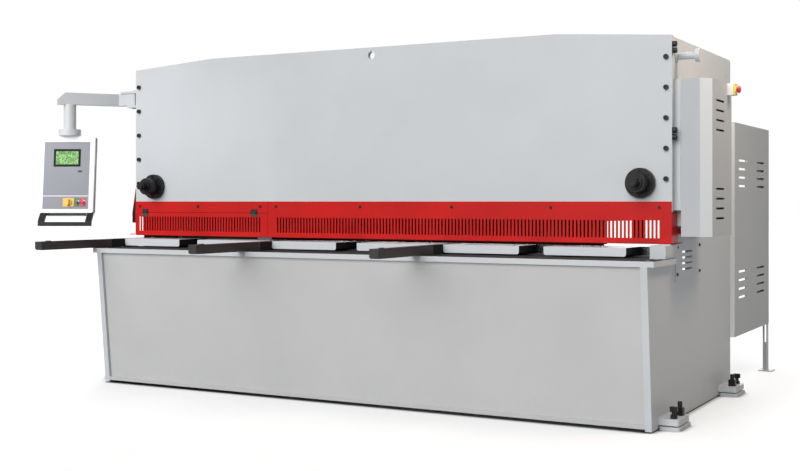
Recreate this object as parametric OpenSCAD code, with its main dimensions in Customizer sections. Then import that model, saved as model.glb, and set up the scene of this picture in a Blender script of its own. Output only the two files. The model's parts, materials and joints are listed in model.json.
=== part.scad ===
// Hydraulic guillotine shear with variable rake, for sheet metal.
// Working axes: X along the blades, Y from the operator to the rear, Z up from the floor.
// Y = 0 is the front edge of the table plate and X = 0 is the middle of the machine.

/* [Overall] */
// Length of the front plate, end to end
plate_len = 3368; // [2700:1:4200]
// Height of the front plate's top edge above the floor
machine_h = 1930; // [1600:1:2400]
// Height of the sheet support pads above the floor
table_h = 853; // [700:1:1050]
// Depth of the side frames, from the table's front edge to the rear
frame_depth = 1584; // [1350:1:2000]

/* [Frame] */
// Thickness of each side frame
side_t = 32; // [20:1:50]
// Thickness of the front plate
plate_t = 27; // [16:1:40]
// Distance of the front plate behind the table's front edge
plate_y = 357; // [300:1:450]
// Overhang of the front plate beyond each side frame
plate_overhang = 13; // [5:1:30]
// Drop of the front plate's top edge at its ends
shoulder_drop = 42; // [0:1:120]
// Length of the level part of the front plate's top edge
crown_len = 2180; // [1200:1:2400]
// Lean of the base front, measured at the floor
base_lean = 74; // [0:1:150]
// Thickness of the folded base panel
panel_t = 6; // [3:1:12]
// Height of the throat opening above the pads
throat_h = 132; // [100:1:180]
// Depth of the throat opening, from the table's front edge
throat_y = 750; // [600:1:900]

/* [Table] */
// Thickness of the table plate
table_t = 27; // [16:1:40]
// Depth of the table plate
table_depth = 380; // [320:1:440]
// Thickness of the sheet support pads
pad_t = 42; // [25:1:60]
// Set-back of the pads' front edge behind the table edge
pad_y = 253; // [150:1:300]
// Length of one hand slot between pads
hand_slot = 134; // [80:1:180]
// Reach of the support arms in front of the table
arm_reach = 432; // [300:1:900]
// Width of a support arm
arm_w = 50; // [30:1:80]
// Distance between support arms
arm_pitch = 1088; // [800:1:1300]

/* [Blades] */
// Plane of the cut, behind the table's front edge
cut_y = 522; // [480:1:560]
// Clearance between the blades
blade_gap = 0.6; // [0.3:0.1:2]
// Thickness of both blades
blade_t = 22; // [16:1:30]
// Height of both blades
blade_h = 62; // [50:1:90]
// Rake angle of the upper blade as drawn
rake = 1.5; // [0.5:0.1:2]
// Thickness of the cutting beam
beam_t = 60; // [40:1:90]
// Diameter of the ram rods
rod_d = 70; // [50:1:90]
// Working stroke of the rams
ram_stroke = 140; // [100:1:160]

/* [Hold-downs] */
// Number of hold-down cylinders
clamp_count = 14; // [8:1:18]
// Diameter of a hold-down plunger
clamp_d = 60; // [40:1:62]
// Working stroke of the hold-downs
clamp_stroke = 30; // [20:1:31]

/* [Finger guard] */
// Height of the guard, including its fixing strip
guard_h = 201; // [180:1:260]
// Thickness of the guard sheet
guard_t = 3; // [2:0.5:5]
// Distance between guard slots
slot_pitch = 20; // [16:1:40]
// Width of a guard slot
slot_w = 9; // [5:1:12]
// Height of a guard slot
slot_h = 87; // [60:1:95]
// Depth of the guard's side wings
wing_depth = 106; // [60:1:120]

/* [Cabinet] */
// Width of the side cabinet, outwards from the side frame
cabinet_w = 187; // [120:1:300]
// Depth of the side cabinet
cabinet_depth = 434; // [300:1:600]
// Chamfer on the cabinet's outer front corner
cabinet_chamfer = 48; // [10:1:80]

/* [Rear fence] */
// Length of a rear fence panel
fence_len = 918; // [600:1:1200]
// Height of a fence panel's top edge
fence_top = 1534; // [1200:1:1700]
// Height of a fence panel's bottom edge
fence_bottom = 300; // [150:1:400]

/* [Pendant] */
// Length of the pendant's arm from its elbow to the drop tube
pendant_arm_l = 312; // [250:1:500]
// Width of the control case
case_w = 338; // [260:1:420]
// Height of the control case
case_h = 480; // [380:1:560]
// Tilt of the control case
case_tilt = 8; // [0:1:15]

/* [Back gauge] */
// Length of the back gauge beam
gauge_len = 2230; // [1800:1:2600]
// Furthest travel of the back gauge towards the rear, from where it is drawn
gauge_back = 400; // [200:1:400]
// Furthest travel of the back gauge towards the blade, from where it is drawn
gauge_fore = 350; // [200:1:380]

/* [Hidden] */
$fn = 48;

// Colours
paint = [0.79, 0.80, 0.81];
paint_dark = [0.62, 0.62, 0.61];
guard_red = [0.78, 0.09, 0.08];
black = [0.12, 0.12, 0.13];
steel = [0.66, 0.67, 0.69];
tool_steel = [0.5, 0.51, 0.53];

// Clearances: a face that only comes close, a sliding fit, and a hole over a bolt
face_gap = 1;
slide_gap = 0.4;
bolt_gap = 0.5;

// Frame stations
plate_half = plate_len / 2;
side_out = plate_half - plate_overhang;
side_in = side_out - side_t;
side_foot_z = 6;
side_top = machine_h - shoulder_drop;
plate_rear = plate_y + plate_t;
plate_bottom = table_h + 177;
table_top = table_h - pad_t - 8;
table_bottom = table_top - table_t;
table_half = side_out + 31;
pad_bottom = table_h - pad_t;
throat_top = table_h + throat_h;
guard_bottom = table_h + 25;
guard_top = guard_bottom + guard_h;

// Cut line
bed_rear = cut_y - blade_t;
upper_y = cut_y + blade_gap;
beam_y = upper_y + blade_t;
beam_rear = beam_y + beam_t;
blade_len = 2 * (side_in - 99);
blade_mid_z = table_h + 92;
rake_slope = tan(rake);

// Hold-downs
guide_x = plate_half - 154;
clamp_x = guide_x - 40;
clamp_y = plate_rear + 62;
clamp_beam_z = throat_top + 5;
clamp_beam_h = 118;
clamp_top = clamp_beam_z + clamp_beam_h + 10;
clamp_barrel_d = 72;
clamp_beam_half = side_in - face_gap;
clamp_foot_z = table_h + 32;
plunger_l = clamp_beam_z + 2 * clamp_stroke - clamp_foot_z;

// Guide units, whose shafts pass over the clamps
guide_shaft_d = 60;
shaft_gap = 20;
guide_z = max(plate_bottom + 140, clamp_top + shaft_gap + guide_shaft_d / 2);

// Rams, with pins high enough for the beam to clear the gauge rails
rail_z = table_h + 162;
rail_h = 92;
rail_gap = 20;
ram_x = side_in - 139;
ram_y = beam_rear + 66;
pin_z = max(machine_h - 600, rail_z + rail_h + rail_gap + 124);
rod_eye_d = 100;
rod_eye_t = 50;
pin_d = 44;
barrel_d = 160;
barrel_bottom = pin_z + 120;
barrel_top = machine_h - 90;
rod_top = barrel_bottom + ram_stroke + 90;
beam_top = pin_z - 90;

// Front plate fastenings
edge_screw_x = plate_half - 28;
edge_screw_pitch = (machine_h - plate_bottom - 306) / 4;
edge_screw_z = [for (i = [0:4]) plate_bottom + 159 + i * edge_screw_pitch];
side_screw_z = [machine_h - 86, machine_h - 117, machine_h - 504, machine_h - 538];
side_screw_y = plate_y + plate_t / 2;
lift_hole_z = machine_h - 44;
lift_hole_d = 42;

blade_screws = 12;
function blade_screw_x(i) = -blade_len / 2 + 60 + i * (blade_len - 120) / (blade_screws - 1);
function clamp_station(i) = -clamp_x + 2 * clamp_x * i / (clamp_count - 1);

// Guard
guard_y = plate_y - guard_t;
guard_seam = -0.2052 * plate_len;
hinge_z = guard_bottom + 134;
hinge_y = guard_y - 5;
hinge_w = 44;
hinge_h = 44;
cheek_w = 26;
flap_tab = 56;
slot_z = guard_bottom + 22;
left_screw_x = [37 - plate_half, (guard_seam - 54 - plate_half + 31) / 2, guard_seam - 54];
right_screw_x = [for (i = [0:4]) guard_seam + 57 + i * (plate_half - 61 - guard_seam - 57) / 4];
hinge_x = [79 - plate_half, guard_seam - 96];
guard_screw_z = guard_top - 29;

// Support arms, pads and hand slots
arm_h = 48;
arm_z = table_h - arm_h;
arm_stations = [-plate_half - arm_w / 2 + 1, -617 * plate_len / 3368, -617 * plate_len / 3368 + arm_pitch];
stop_y = -arm_reach + 62;
stop_l = 34;
stop_w = 16;
stop_h = 20;
pad_rear = bed_rear - face_gap;
pad_right_end = plate_half - 196;
// Left and right ends of each pad: they meet the hand slots, and leave room for the arms between
pad_spans = [
    [-plate_half + 6, -plate_half + 425],
    [arm_stations[1] - arm_w / 2 - 482, arm_stations[1] - arm_w / 2 - face_gap],
    [arm_stations[1] + arm_w / 2 + face_gap, arm_stations[1] + arm_w / 2 + 427],
    [arm_stations[1] + arm_w / 2 + 427 + hand_slot, arm_stations[2] - arm_w / 2 - face_gap],
    [arm_stations[2] + arm_w / 2 + face_gap, arm_stations[2] + arm_w / 2 + 430],
    [arm_stations[2] + arm_w / 2 + 430 + hand_slot, pad_right_end]];
end_block_w = 79;

// Throat covers
cover_front = cut_y - 58;
cover_rear = throat_y + 155;
cover_low = table_h - 173;
cover_t = 5;
// Stay at the rear of the guard's right wing
stay_y = plate_y + 177;
stay_z = guard_bottom + 53;

// Cabinet and what is on it
cabinet_back_w = 47;
cabinet_y = plate_y + 39;
cabinet_rear = cabinet_y + cabinet_depth;
cabinet_out = side_out + cabinet_w;
cabinet_bottom = table_h + 55;
cabinet_back_bottom = table_h + 104;
cabinet_top = machine_h - 253;
louvre_pitch = 48.5;
louvre_z = concat([for (i = [0:3]) cabinet_top - 100 - i * louvre_pitch],
    [for (i = [0:3]) cabinet_bottom + 88 + i * louvre_pitch]);
louvre_y = cabinet_y + 124;
louvre_l = 156;
estop_y = cabinet_rear - 65;
estop_z = cabinet_top - 32;
estop_box_t = 28;
estop_lid_t = 15;
estop_tip = cabinet_out + estop_box_t + estop_lid_t + 19;
trunnion_y = plate_rear + 76;
trunnion_z = machine_h - 137;
stiffener_t = 6;
stiffener_rear = plate_rear + 268;
pin_hole = [frame_depth - 98, machine_h - 139];

// Feet
foot_out = side_out + 98;
foot_pad_t = 18;
foot_plate_z = 24;
foot_plate_t = 30;
foot_front_y = 177;
foot_rear_y = frame_depth - 269;
foot_l = 190;
foot_bolt_x = foot_out - 34;
anchor_at = 36;
jack_at = 140;

// Fences
fence_out = side_out + 25;
fence_sheet = 3;
fence_rear = frame_depth + fence_len;
fence_slot_z = concat([for (i = [0:3]) fence_top - 216 - i * 49.5],
    [for (i = [0:3]) fence_bottom + 221 + i * 50]);
fence_slot_y = [frame_depth + 0.1133 * fence_len, frame_depth + 0.627 * fence_len];
fence_slot_l = 0.226 * fence_len;
fence_foot_l = 102;
fence_skin = frame_depth + 0.3965 * fence_len;

// Pendant
pivot_x = -side_out - 90;
pivot_y = plate_y + 73;
elbow_x = pivot_x - 113;
arm_angle = 233.7;
arm_box_h = 73;
arm_box_w = 56;
arm_low_z = machine_h - 250;
tube_x = elbow_x + pendant_arm_l * cos(arm_angle);
tube_y = pivot_y + pendant_arm_l * sin(arm_angle);
tube_d = 76;
collar_z = machine_h - 444;
collar_h = 39;
case_yaw = 29;
case_front_t = 22;
case_rear_t = 38;
case_dx = -7;
case_dy = -case_h / 2 * sin(case_tilt);
case_z = collar_z - face_gap - case_h / 2 * cos(case_tilt) - case_front_t * sin(case_tilt);
face_w = case_w - 58;
face_top = case_h / 2 - 38;
face_bottom = -case_h / 2 + 24;
lock_x = 82;
lock_z = face_top - 184;
screen_w = 165;
screen_h = 109;
screen_x = 1;
screen_z = face_top - 45 - screen_h / 2;
control_z = face_bottom + 41;
control_x = [18, 68.5, 106];

// Back gauge
rail_x = 0.2672 * plate_len;
rail_w = 80;
rail_wall = 8;
gauge_y = beam_rear + gauge_fore + 46;
gauge_t = 60;
rail_end = gauge_y + gauge_t + gauge_back + 70;
gauge_screw_z = rail_z + 44;
gauge_screw_d = 32;

// Rear furniture
tie_z = machine_h - 590;
tie_h = 90;
tie_depth = 300;
tank_w = 1000;
tank_depth = 300;
tank_h = 330;

// The origin is under the middle of the whole machine's box, on the floor
case_back_reach = case_rear_t * cos(case_tilt) - 3 * sin(case_tilt);
box_left = tube_x + (case_dx - case_w / 2) * cos(case_yaw) - case_back_reach * sin(case_yaw);
box_right = estop_tip;
box_front = -arm_reach;
box_rear = fence_rear + 30;
origin_x = (box_left + box_right) / 2;
origin_y = (box_front + box_rear) / 2;

module place() { translate([-origin_x, -origin_y, 0]) children(); }

// A block from its lowest to its highest corner
module block(a, b) { translate(a) cube(b - a); }

// A cylinder along X, Y or Z that starts at p
module rod_x(p, d, l) { translate(p) rotate([0, 90, 0]) cylinder(d = d, h = l); }
module rod_y(p, d, l) { translate(p) rotate([-90, 0, 0]) cylinder(d = d, h = l); }
module rod_z(p, d, l) { translate(p) cylinder(d = d, h = l); }

// A flat outline in Y and Z, made thick along X from x0
module side_profile(x0, t) { translate([x0, 0, 0]) rotate([90, 0, 90]) linear_extrude(t) children(); }

// A flat outline in X and Z, made thick along +Y from y0
module front_profile(y0, t) { translate([0, y0 + t, 0]) rotate([90, 0, 0]) linear_extrude(t) children(); }

module square_from(a, b) { translate(a) square(b - a); }

module round_rect(a, b, r) {
    translate([a[0] + r, a[1]]) square([b[0] - a[0] - 2 * r, b[1] - a[1]]);
    translate([a[0], a[1] + r]) square([b[0] - a[0], b[1] - a[1] - 2 * r]);
    for (x = [a[0] + r, b[0] - r], y = [a[1] + r, b[1] - r]) translate([x, y]) circle(r);
}

// A socket cap screw head that stands out along +Z, with a short shank behind it
module cap_screw(d, head_h, shank_d, shank_l) {
    difference() {
        cylinder(d = d, h = head_h, $fn = 24);
        translate([0, 0, head_h * 0.45]) cylinder(d = d * 0.52, h = head_h, $fn = 6);
    }
    translate([0, 0, -shank_l]) cylinder(d = shank_d, h = shank_l + 0.5, $fn = 24);
}

module point_front(p) { translate(p) rotate([90, 0, 0]) children(); }
module point_right(p) { translate(p) rotate([0, 90, 0]) children(); }

// ---- Frame ----

module side_outline() {
    difference() {
        polygon([[base_lean, side_foot_z], [0, table_bottom], [table_depth + face_gap, table_bottom],
            [table_depth + face_gap, table_top], [bed_rear, table_top], [bed_rear, table_h],
            [throat_y, table_h], [throat_y, throat_top], [plate_rear, throat_top],
            [plate_rear, side_top], [frame_depth, side_top], [frame_depth, side_foot_z]]);
        // The throat goes on below the table line, behind the bed
        round_rect([bed_rear + 20, table_h - 150], [throat_y, table_h + 60], 25);
        // Relief corner at the top of the rear edge
        translate([frame_depth - 24, side_top - 24]) difference() {
            square(30);
            circle(24);
        }
        translate([plate_y + 126, table_bottom - 41]) circle(d = 12);
        translate(pin_hole) circle(d = 14);
    }
}

// Welded on: foot plates with bolt holes, the rear guide bar and the ram bracket
module side_frame(s) {
    mirror([s < 0 ? 1 : 0, 0, 0]) {
        side_profile(side_in, side_t) side_outline();
        // A stiffener behind the front plate on the right, cut out round the trunnion
        if (s > 0) side_profile(side_out - 0.5, stiffener_t + 0.5) difference() {
            square_from([plate_rear + 1, cabinet_top + 2], [stiffener_rear, trunnion_z]);
            translate([trunnion_y, trunnion_z]) circle(d = 62);
        }
        for (y = [foot_front_y, foot_rear_y]) difference() {
            translate([0, 0, foot_plate_z]) linear_extrude(foot_plate_t)
                round_rect([side_out - 20, y], [foot_out, y + foot_l], 18);
            for (d = [anchor_at, jack_at])
                rod_z([foot_bolt_x, y == foot_front_y ? y + d : y + foot_l - d, foot_plate_z - 1],
                    24, foot_plate_t + 2);
        }
        block([side_in - 74, beam_rear + face_gap, pin_z - 330],
            [side_in + 1, beam_rear + 46, pin_z - 110]);
        bracket_y = ram_y + barrel_d / 2;
        block([side_in - 60, bracket_y - 8, barrel_bottom], [side_in + 1, bracket_y + 32, barrel_top - 40]);
        block([ram_x - 70, bracket_y, barrel_bottom + 30], [side_in - 59, bracket_y + 32, barrel_top - 60]);
    }
}

module side_frame_left() { color(paint) place() side_frame(-1); }
module side_frame_right() { color(paint) place() side_frame(1); }

// One folded sheet: leaning front, a return at the top and a ledge at the floor
module base_front_panel() {
    run = table_bottom - side_foot_z;
    y_at = function (z) base_lean * (table_bottom - z) / run;
    low = 16;
    set_back = 15;
    top = table_bottom - face_gap;
    color(paint) place() side_profile(-side_in + face_gap, 2 * (side_in - face_gap)) {
        polygon([[y_at(low) + set_back, low], [y_at(top) + set_back, top], [y_at(top) + set_back + 60, top],
            [y_at(top) + set_back + 60, top - panel_t], [y_at(top) + set_back + panel_t, top - panel_t],
            [y_at(low + 20) + set_back + panel_t, low + 20], [y_at(low) + set_back + 90, low + 20],
            [y_at(low) + set_back + 90, low]]);
        polygon([[y_at(low), low], [y_at(low + 20), low + 20], [y_at(low + 20) + set_back + 1, low + 20],
            [y_at(low) + set_back + 1, low]]);
    }
}

module rear_tie_beam() {
    y1 = frame_depth - 10;
    color(paint_dark) place() difference() {
        block([-side_in + face_gap, y1 - tie_depth, tie_z], [side_in - face_gap, y1, tie_z + tie_h]);
        block([-side_in, y1 - tie_depth + 10, tie_z + 10], [side_in, y1 - 10, tie_z + tie_h - 10]);
    }
}

module table_plate() {
    color(paint) place() difference() {
        block([-table_half, 0, table_bottom], [table_half, table_depth, table_top]);
        for (x = [-side_out + side_t / 2, side_out - side_t / 2], y = [60, 200, 330])
            rod_z([x, y, table_top - 9], 22, 10);
    }
}

// The heavy bed: a tall web that carries the lower blade, and a flange under the pads
module bed_beam() {
    web_t = 50;
    rib_pitch = 0.275 * side_in;
    color(paint_dark) place() difference() {
        union() {
            block([-side_in + face_gap, bed_rear - web_t, 130], [side_in - face_gap, bed_rear, pad_bottom]);
            block([-side_in + face_gap, table_depth + 2, table_bottom],
                [side_in - face_gap, bed_rear - web_t, pad_bottom]);
            block([-side_in + face_gap, bed_rear - web_t - 110, 130],
                [side_in - face_gap, bed_rear - web_t, 160]);
            for (i = [-3:3]) block([i * rib_pitch - 9, bed_rear - web_t - 100, 150],
                [i * rib_pitch + 9, bed_rear - web_t + 1, table_bottom - 20]);
        }
        // Room for the end block
        block([plate_half - end_block_w - 1, table_depth + 1, table_top],
            [side_in, plate_y + 104, pad_bottom + 1]);
        for (i = [0:blade_screws - 1])
            rod_y([blade_screw_x(i), bed_rear - 30, table_h - blade_h / 2 - 14], 14, 31);
    }
}

module lower_blade() {
    color(tool_steel) place() difference() {
        block([-blade_len / 2, bed_rear, table_h - blade_h], [blade_len / 2, cut_y, table_h]);
        for (i = [0:blade_screws - 1]) {
            x = blade_screw_x(i);
            rod_y([x, bed_rear - 1, table_h - blade_h / 2 - 14], 14, blade_t + 2);
            rod_y([x, cut_y - 10, table_h - blade_h / 2 - 14], 24, 11);
        }
    }
}

// ---- Table ----

module pad_outline(x0, x1) {
    r = 12;
    translate([x0 + r, pad_bottom]) square([x1 - x0 - 2 * r, pad_t]);
    translate([x0, pad_bottom + r]) square([x1 - x0, pad_t - r]);
    for (x = [x0 + r, x1 - r]) translate([x, pad_bottom + r]) circle(r);
}

module table_pads() {
    color([0.85, 0.86, 0.88]) place() for (p = pad_spans) difference() {
        front_profile(pad_y, pad_rear - pad_y) pad_outline(p[0], p[1]);
        for (x = [p[0] + 45, p[1] - 45]) rod_z([x, table_depth + 60, table_h - 8], 20, 9);
    }
}

module table_end_blocks() {
    color(paint) place() {
        translate([0, 0, table_top]) linear_extrude(table_h + 15 - table_top)
            round_rect([plate_half - end_block_w, pad_y], [plate_half, plate_y + 103], 3);
    }
}

// A channel-shaped arm: ground top face, a tapered nose and a pocket for its stop
module support_arm(x) {
    difference() {
        translate([x - arm_w / 2, 0, 0]) side_profile(0, arm_w)
            polygon([[-arm_reach, arm_z + 8], [-arm_reach, table_h], [pad_rear - 4, table_h],
                [pad_rear - 4, pad_bottom + 0.2], [table_depth + 1, pad_bottom + 0.2],
                    [table_depth + 1, table_top],
                [0, table_top], [0, arm_z], [-arm_reach + 12, arm_z]]);
        block([x - stop_w / 2 - 1, stop_y - 16, table_h - stop_h],
            [x + stop_w / 2 + 1, stop_y + stop_l + 2, table_h + 1]);
        rod_x([x - arm_w / 2 - 1, stop_y, table_h - stop_h / 2], 6.2, arm_w + 2);
    }
    for (y = [80, 180]) rod_z([x, y, table_h - 3], 14, 3);
}

module support_arms() {
    color([0.23, 0.22, 0.23]) place() for (x = arm_stations) support_arm(x);
}

// A flip stop: a small finger on a cross pin, standing just above the arm
module arm_stop(i) {
    x = arm_stations[i];
    color([0.16, 0.16, 0.17]) place() {
        difference() {
            union() {
                block([x - stop_w / 2, stop_y, table_h - stop_h + 2],
                    [x + stop_w / 2, stop_y + stop_l, table_h + 4]);
                rod_x([x - stop_w / 2, stop_y, table_h - stop_h / 2], 14, stop_w);
            }
            translate([x - stop_w, stop_y + stop_l, table_h + 4]) rotate([0, 90, 0])
                cylinder(d = 12, h = stop_w * 2);
        }
        rod_x([x - arm_w / 2, stop_y, table_h - stop_h / 2], 6, arm_w);
    }
}

module arm_stop_1() { arm_stop(0); }
module arm_stop_2() { arm_stop(1); }
module arm_stop_3() { arm_stop(2); }

// ---- Front plate ----

module front_plate() {
    color(paint) place() difference() {
        front_profile(plate_y, plate_t) polygon([[-plate_half, plate_bottom], [-plate_half, side_top],
            [-crown_len / 2, machine_h], [crown_len / 2, machine_h], [plate_half, side_top],
                [plate_half, plate_bottom]]);
        rod_y([0, plate_y - 1, lift_hole_z], lift_hole_d, plate_t + 2);
        for (s = [-1, 1]) {
            rod_y([s * guide_x, plate_y - 1, guide_z], guide_shaft_d + 2 * bolt_gap, plate_t + 2);
            for (z = edge_screw_z) rod_y([s * edge_screw_x, plate_y - 1, z], 17, plate_t + 2);
        }
        for (x = concat(left_screw_x, right_screw_x)) rod_y([x, plate_y - 1, guard_screw_z], 9, 16);
    }
}

// Every black socket screw: front plate, its right end edge, guard, throat covers and the guard's stay
module cap_screws() {
    color(black) place() {
        for (s = [-1, 1], z = edge_screw_z)
            point_front([s * edge_screw_x, plate_y, z]) cap_screw(25, 11, 16, plate_t);
        for (z = side_screw_z) point_right([plate_half, side_screw_y, z]) difference() {
            cylinder(d = 28, h = 20, $fn = 24);
            translate([0, 0, 11]) cylinder(d = 14, h = 20, $fn = 6);
        }
        for (x = concat(left_screw_x, right_screw_x))
            point_front([x, guard_y, guard_screw_z]) cap_screw(14, 6, 8, guard_t + 12);
        at_cover_screws(0) cap_screw(15, 6, 7, cover_t - 0.5);
        mirror([1, 0, 0]) at_cover_screws(46) cap_screw(15, 6, 7, cover_t - 0.5);
        point_right([plate_half, stay_y, stay_z]) cap_screw(22, 13, 10, guard_t - 0.5);
    }
}

// ---- Hold-downs ----

module hold_down_beam() {
    y0 = plate_rear + 16;
    y1 = beam_y - 32;
    color([0.3, 0.31, 0.32]) place() difference() {
        block([-clamp_beam_half, y0, clamp_beam_z], [clamp_beam_half, y1, clamp_beam_z + clamp_beam_h]);
        for (i = [0:clamp_count - 1])
            rod_z([clamp_station(i), clamp_y, clamp_beam_z - 1],
                clamp_barrel_d + 2 * bolt_gap, clamp_beam_h + 2);
    }
}

module hold_down_barrels() {
    color(steel) place() for (i = [0:clamp_count - 1]) difference() {
        union() {
            rod_z([clamp_station(i), clamp_y, clamp_beam_z], clamp_barrel_d, clamp_beam_h);
            rod_z([clamp_station(i), clamp_y, clamp_beam_z + clamp_beam_h], clamp_barrel_d + 12,
                clamp_top - clamp_beam_z - clamp_beam_h);
        }
        rod_z([clamp_station(i), clamp_y, clamp_beam_z - 1], clamp_d + 2 * slide_gap, clamp_beam_h - 14);
    }
}

module hold_down_feet() {
    color([0.42, 0.43, 0.45]) place() for (i = [0:clamp_count - 1]) {
        translate([clamp_station(i), clamp_y, clamp_foot_z]) rotate_extrude()
            polygon([[0, 0], [clamp_d / 2 - 6, 0], [clamp_d / 2, 5], [clamp_d / 2, plunger_l],
                [0, plunger_l]]);
    }
}

// ---- Guide units ----

// A flanged adjuster: its plunger goes through the front plate and bears on the cutting beam
module guide_unit(x) {
    reach = beam_y - face_gap - plate_y;
    point_front([x, plate_y, guide_z]) {
        translate([0, 0, -reach]) cylinder(d = guide_shaft_d, h = reach + 1);
        rotate_extrude() polygon([[0, 0], [74, 0], [74, 27], [71, 30], [52, 30], [50, 33],
            [50, 92], [47, 95], [36, 95], [36, 101], [34, 103], [0, 103]]);
        translate([0, 0, 102]) cylinder(d = 52, h = 18, $fn = 6);
        translate([0, 0, 119]) cylinder(d = 34, h = 15, $fn = 24);
        translate([0, 0, 133]) cylinder(d = 42, h = 15, $fn = 6);
        for (a = [0:45:315]) rotate([0, 0, a]) translate([61, 0, 29]) difference() {
            cylinder(d = 11, h = 7, $fn = 24);
            translate([0, 0, 3]) cylinder(d = 6, h = 6, $fn = 6);
        }
    }
}

module guide_units() { color(black) place() for (s = [-1, 1]) guide_unit(s * guide_x); }

// ---- Finger guard ----

module slot_row(x0, x1) {
    n = floor((x1 - x0) / slot_pitch);
    first = (x0 + x1 - n * slot_pitch) / 2;
    for (i = [0:n]) translate([first + i * slot_pitch - slot_w / 2, slot_z]) square([slot_w, slot_h]);
}

// The lip is folded back under the lower edge
module guard_lip(x0, x1) {
    block([x0, guard_y, guard_bottom - guard_t], [x1, plate_y + 16, guard_bottom]);
}

// The right wing folds back along the side, and ends in a stay with its bolt
module guard_wing() {
    x0 = plate_half - guard_t;
    block([x0, plate_y - 1, guard_bottom], [plate_half, plate_y + wing_depth, plate_bottom - 4]);
    block([x0 - 4, plate_y + wing_depth - guard_t, guard_bottom + 20],
        [x0 + 1, plate_y + wing_depth, guard_bottom + 90]);
    difference() {
        block([x0, plate_y + wing_depth - 1, stay_z - 14], [plate_half, stay_y + 14, stay_z + 14]);
        rod_x([x0 - 1, stay_y, stay_z], 10.4, guard_t + 2);
    }
}

module guard_left_rail() {
    x0 = -plate_half;
    x1 = guard_seam - 1;
    color(guard_red) place() {
        difference() {
            front_profile(guard_y, guard_t) polygon([[x0, hinge_z + 1], [x0, guard_top], [x1, guard_top],
                [x1, hinge_z + 1]]);
            for (x = left_screw_x) rod_y([x, guard_y - 1, guard_screw_z], 9, guard_t + 2);
        }
        block([x0, guard_y, guard_bottom], [x0 + 5, plate_y, hinge_z + 2]);
        // A tapered cheek beyond the left end
        front_profile(guard_y, guard_t) polygon([[x0 + 1, plate_bottom + 130], [x0 - cheek_w, hinge_z - 1],
            [x0 - cheek_w, guard_bottom + 70], [x0 + 1, guard_bottom + 70]]);
    }
}

module guard_flap() {
    x0 = -plate_half + 6;
    x1 = guard_seam - 1;
    color(guard_red) place() {
        front_profile(guard_y, guard_t) difference() {
            polygon([[x0, guard_bottom - guard_t], [x0, hinge_z - 1], [x1, hinge_z - 1],
                [x1, guard_bottom - guard_t]]);
            slot_row(-plate_half + 32, guard_seam - 54);
        }
        guard_lip(x0, x1);
        // Lifting tab at the free end
        guard_lip(x0 - flap_tab, x0 + 1);
    }
}

module guard_right() {
    x0 = guard_seam + 1;
    x1 = plate_half;
    color(guard_red) place() {
        difference() {
            front_profile(guard_y, guard_t) difference() {
                polygon([[x0, guard_bottom - guard_t], [x0, guard_top], [x1, guard_top],
                    [x1, guard_bottom - guard_t]]);
                slot_row(guard_seam + 65, plate_half - 61);
            }
            for (x = right_screw_x) rod_y([x, guard_y - 1, guard_screw_z], 9, guard_t + 2);
        }
        guard_lip(x0, x1);
        guard_wing();
    }
}

// Butt hinges: the upper leaf with its knuckles and pin stays on the rail
module hinge_leaf(x, up) {
    z0 = up ? hinge_z : hinge_z - hinge_h / 2;
    difference() {
        union() {
            block([x - hinge_w / 2, guard_y - 3, up ? hinge_z + 4.4 : z0],
                [x + hinge_w / 2, guard_y, up ? hinge_z + hinge_h / 2 : hinge_z - 4.4]);
            for (k = up ? [-1, 1] : [0]) {
                rod_x([x + k * 15 - 7, hinge_y, hinge_z], 8, 14);
                block([x + k * 15 - 7, guard_y - 3, up ? hinge_z : hinge_z - 6],
                    [x + k * 15 + 7, guard_y - 1, up ? hinge_z + 6 : hinge_z]);
            }
        }
        if (!up) rod_x([x - 8, hinge_y, hinge_z], 4 + 2 * slide_gap, 16);
    }
    if (up) rod_x([x - 22, hinge_y, hinge_z], 4, 44);
}

module guard_hinges() { color([0.36, 0.37, 0.38]) place() for (x = hinge_x) hinge_leaf(x, true); }
module guard_flap_leaves() { color([0.36, 0.37, 0.38]) place() for (x = hinge_x) hinge_leaf(x, false); }

// ---- Side cabinet, covers and trunnion ----

// Open box between the side frame and the cover; its low part clears the guard's wing
module cabinet_back() {
    step_z = plate_bottom + 6;
    color(paint) place() difference() {
        side_profile(side_out, cabinet_back_w) difference() {
            cabinet_step(0, step_z);
            cabinet_step(3, step_z);
        }
        // Shadow gap beside the cover
        block([side_out + cabinet_back_w - 3, cabinet_y, step_z + 4],
            [side_out + cabinet_back_w + 1, cabinet_y + 6.9, cabinet_top - 3]);
    }
}

module cabinet_step(inset, step_z) {
    low_y = stay_y + 20;
    polygon([[cabinet_y + 4 + inset, step_z + inset], [low_y + inset, step_z + inset],
        [low_y + inset, cabinet_back_bottom + inset],
        [cabinet_rear - inset, cabinet_back_bottom + inset], [cabinet_rear - inset, cabinet_top - inset],
        [cabinet_y + 4 + inset, cabinet_top - inset]]);
}

module cabinet_outline(inset) {
    c = cabinet_chamfer;
    x0 = side_out + cabinet_back_w;
    polygon([[x0 + inset, cabinet_y + inset], [cabinet_out - c, cabinet_y + inset],
        [cabinet_out - inset, cabinet_y + c], [cabinet_out - inset, cabinet_rear - inset],
        [x0 + inset, cabinet_rear - inset]]);
}

module cabinet_cover() {
    wall = 3;
    color(paint) place() difference() {
        translate([0, 0, cabinet_bottom]) linear_extrude(cabinet_top - cabinet_bottom) cabinet_outline(0);
        translate([0, 0, cabinet_bottom + wall]) linear_extrude(cabinet_top - cabinet_bottom - 2 * wall)
            cabinet_outline(wall);
        for (z = louvre_z) block([cabinet_out - wall - 2, louvre_y, z - 5],
            [cabinet_out + 1, louvre_y + louvre_l, z + 5]);
    }
}

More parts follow.
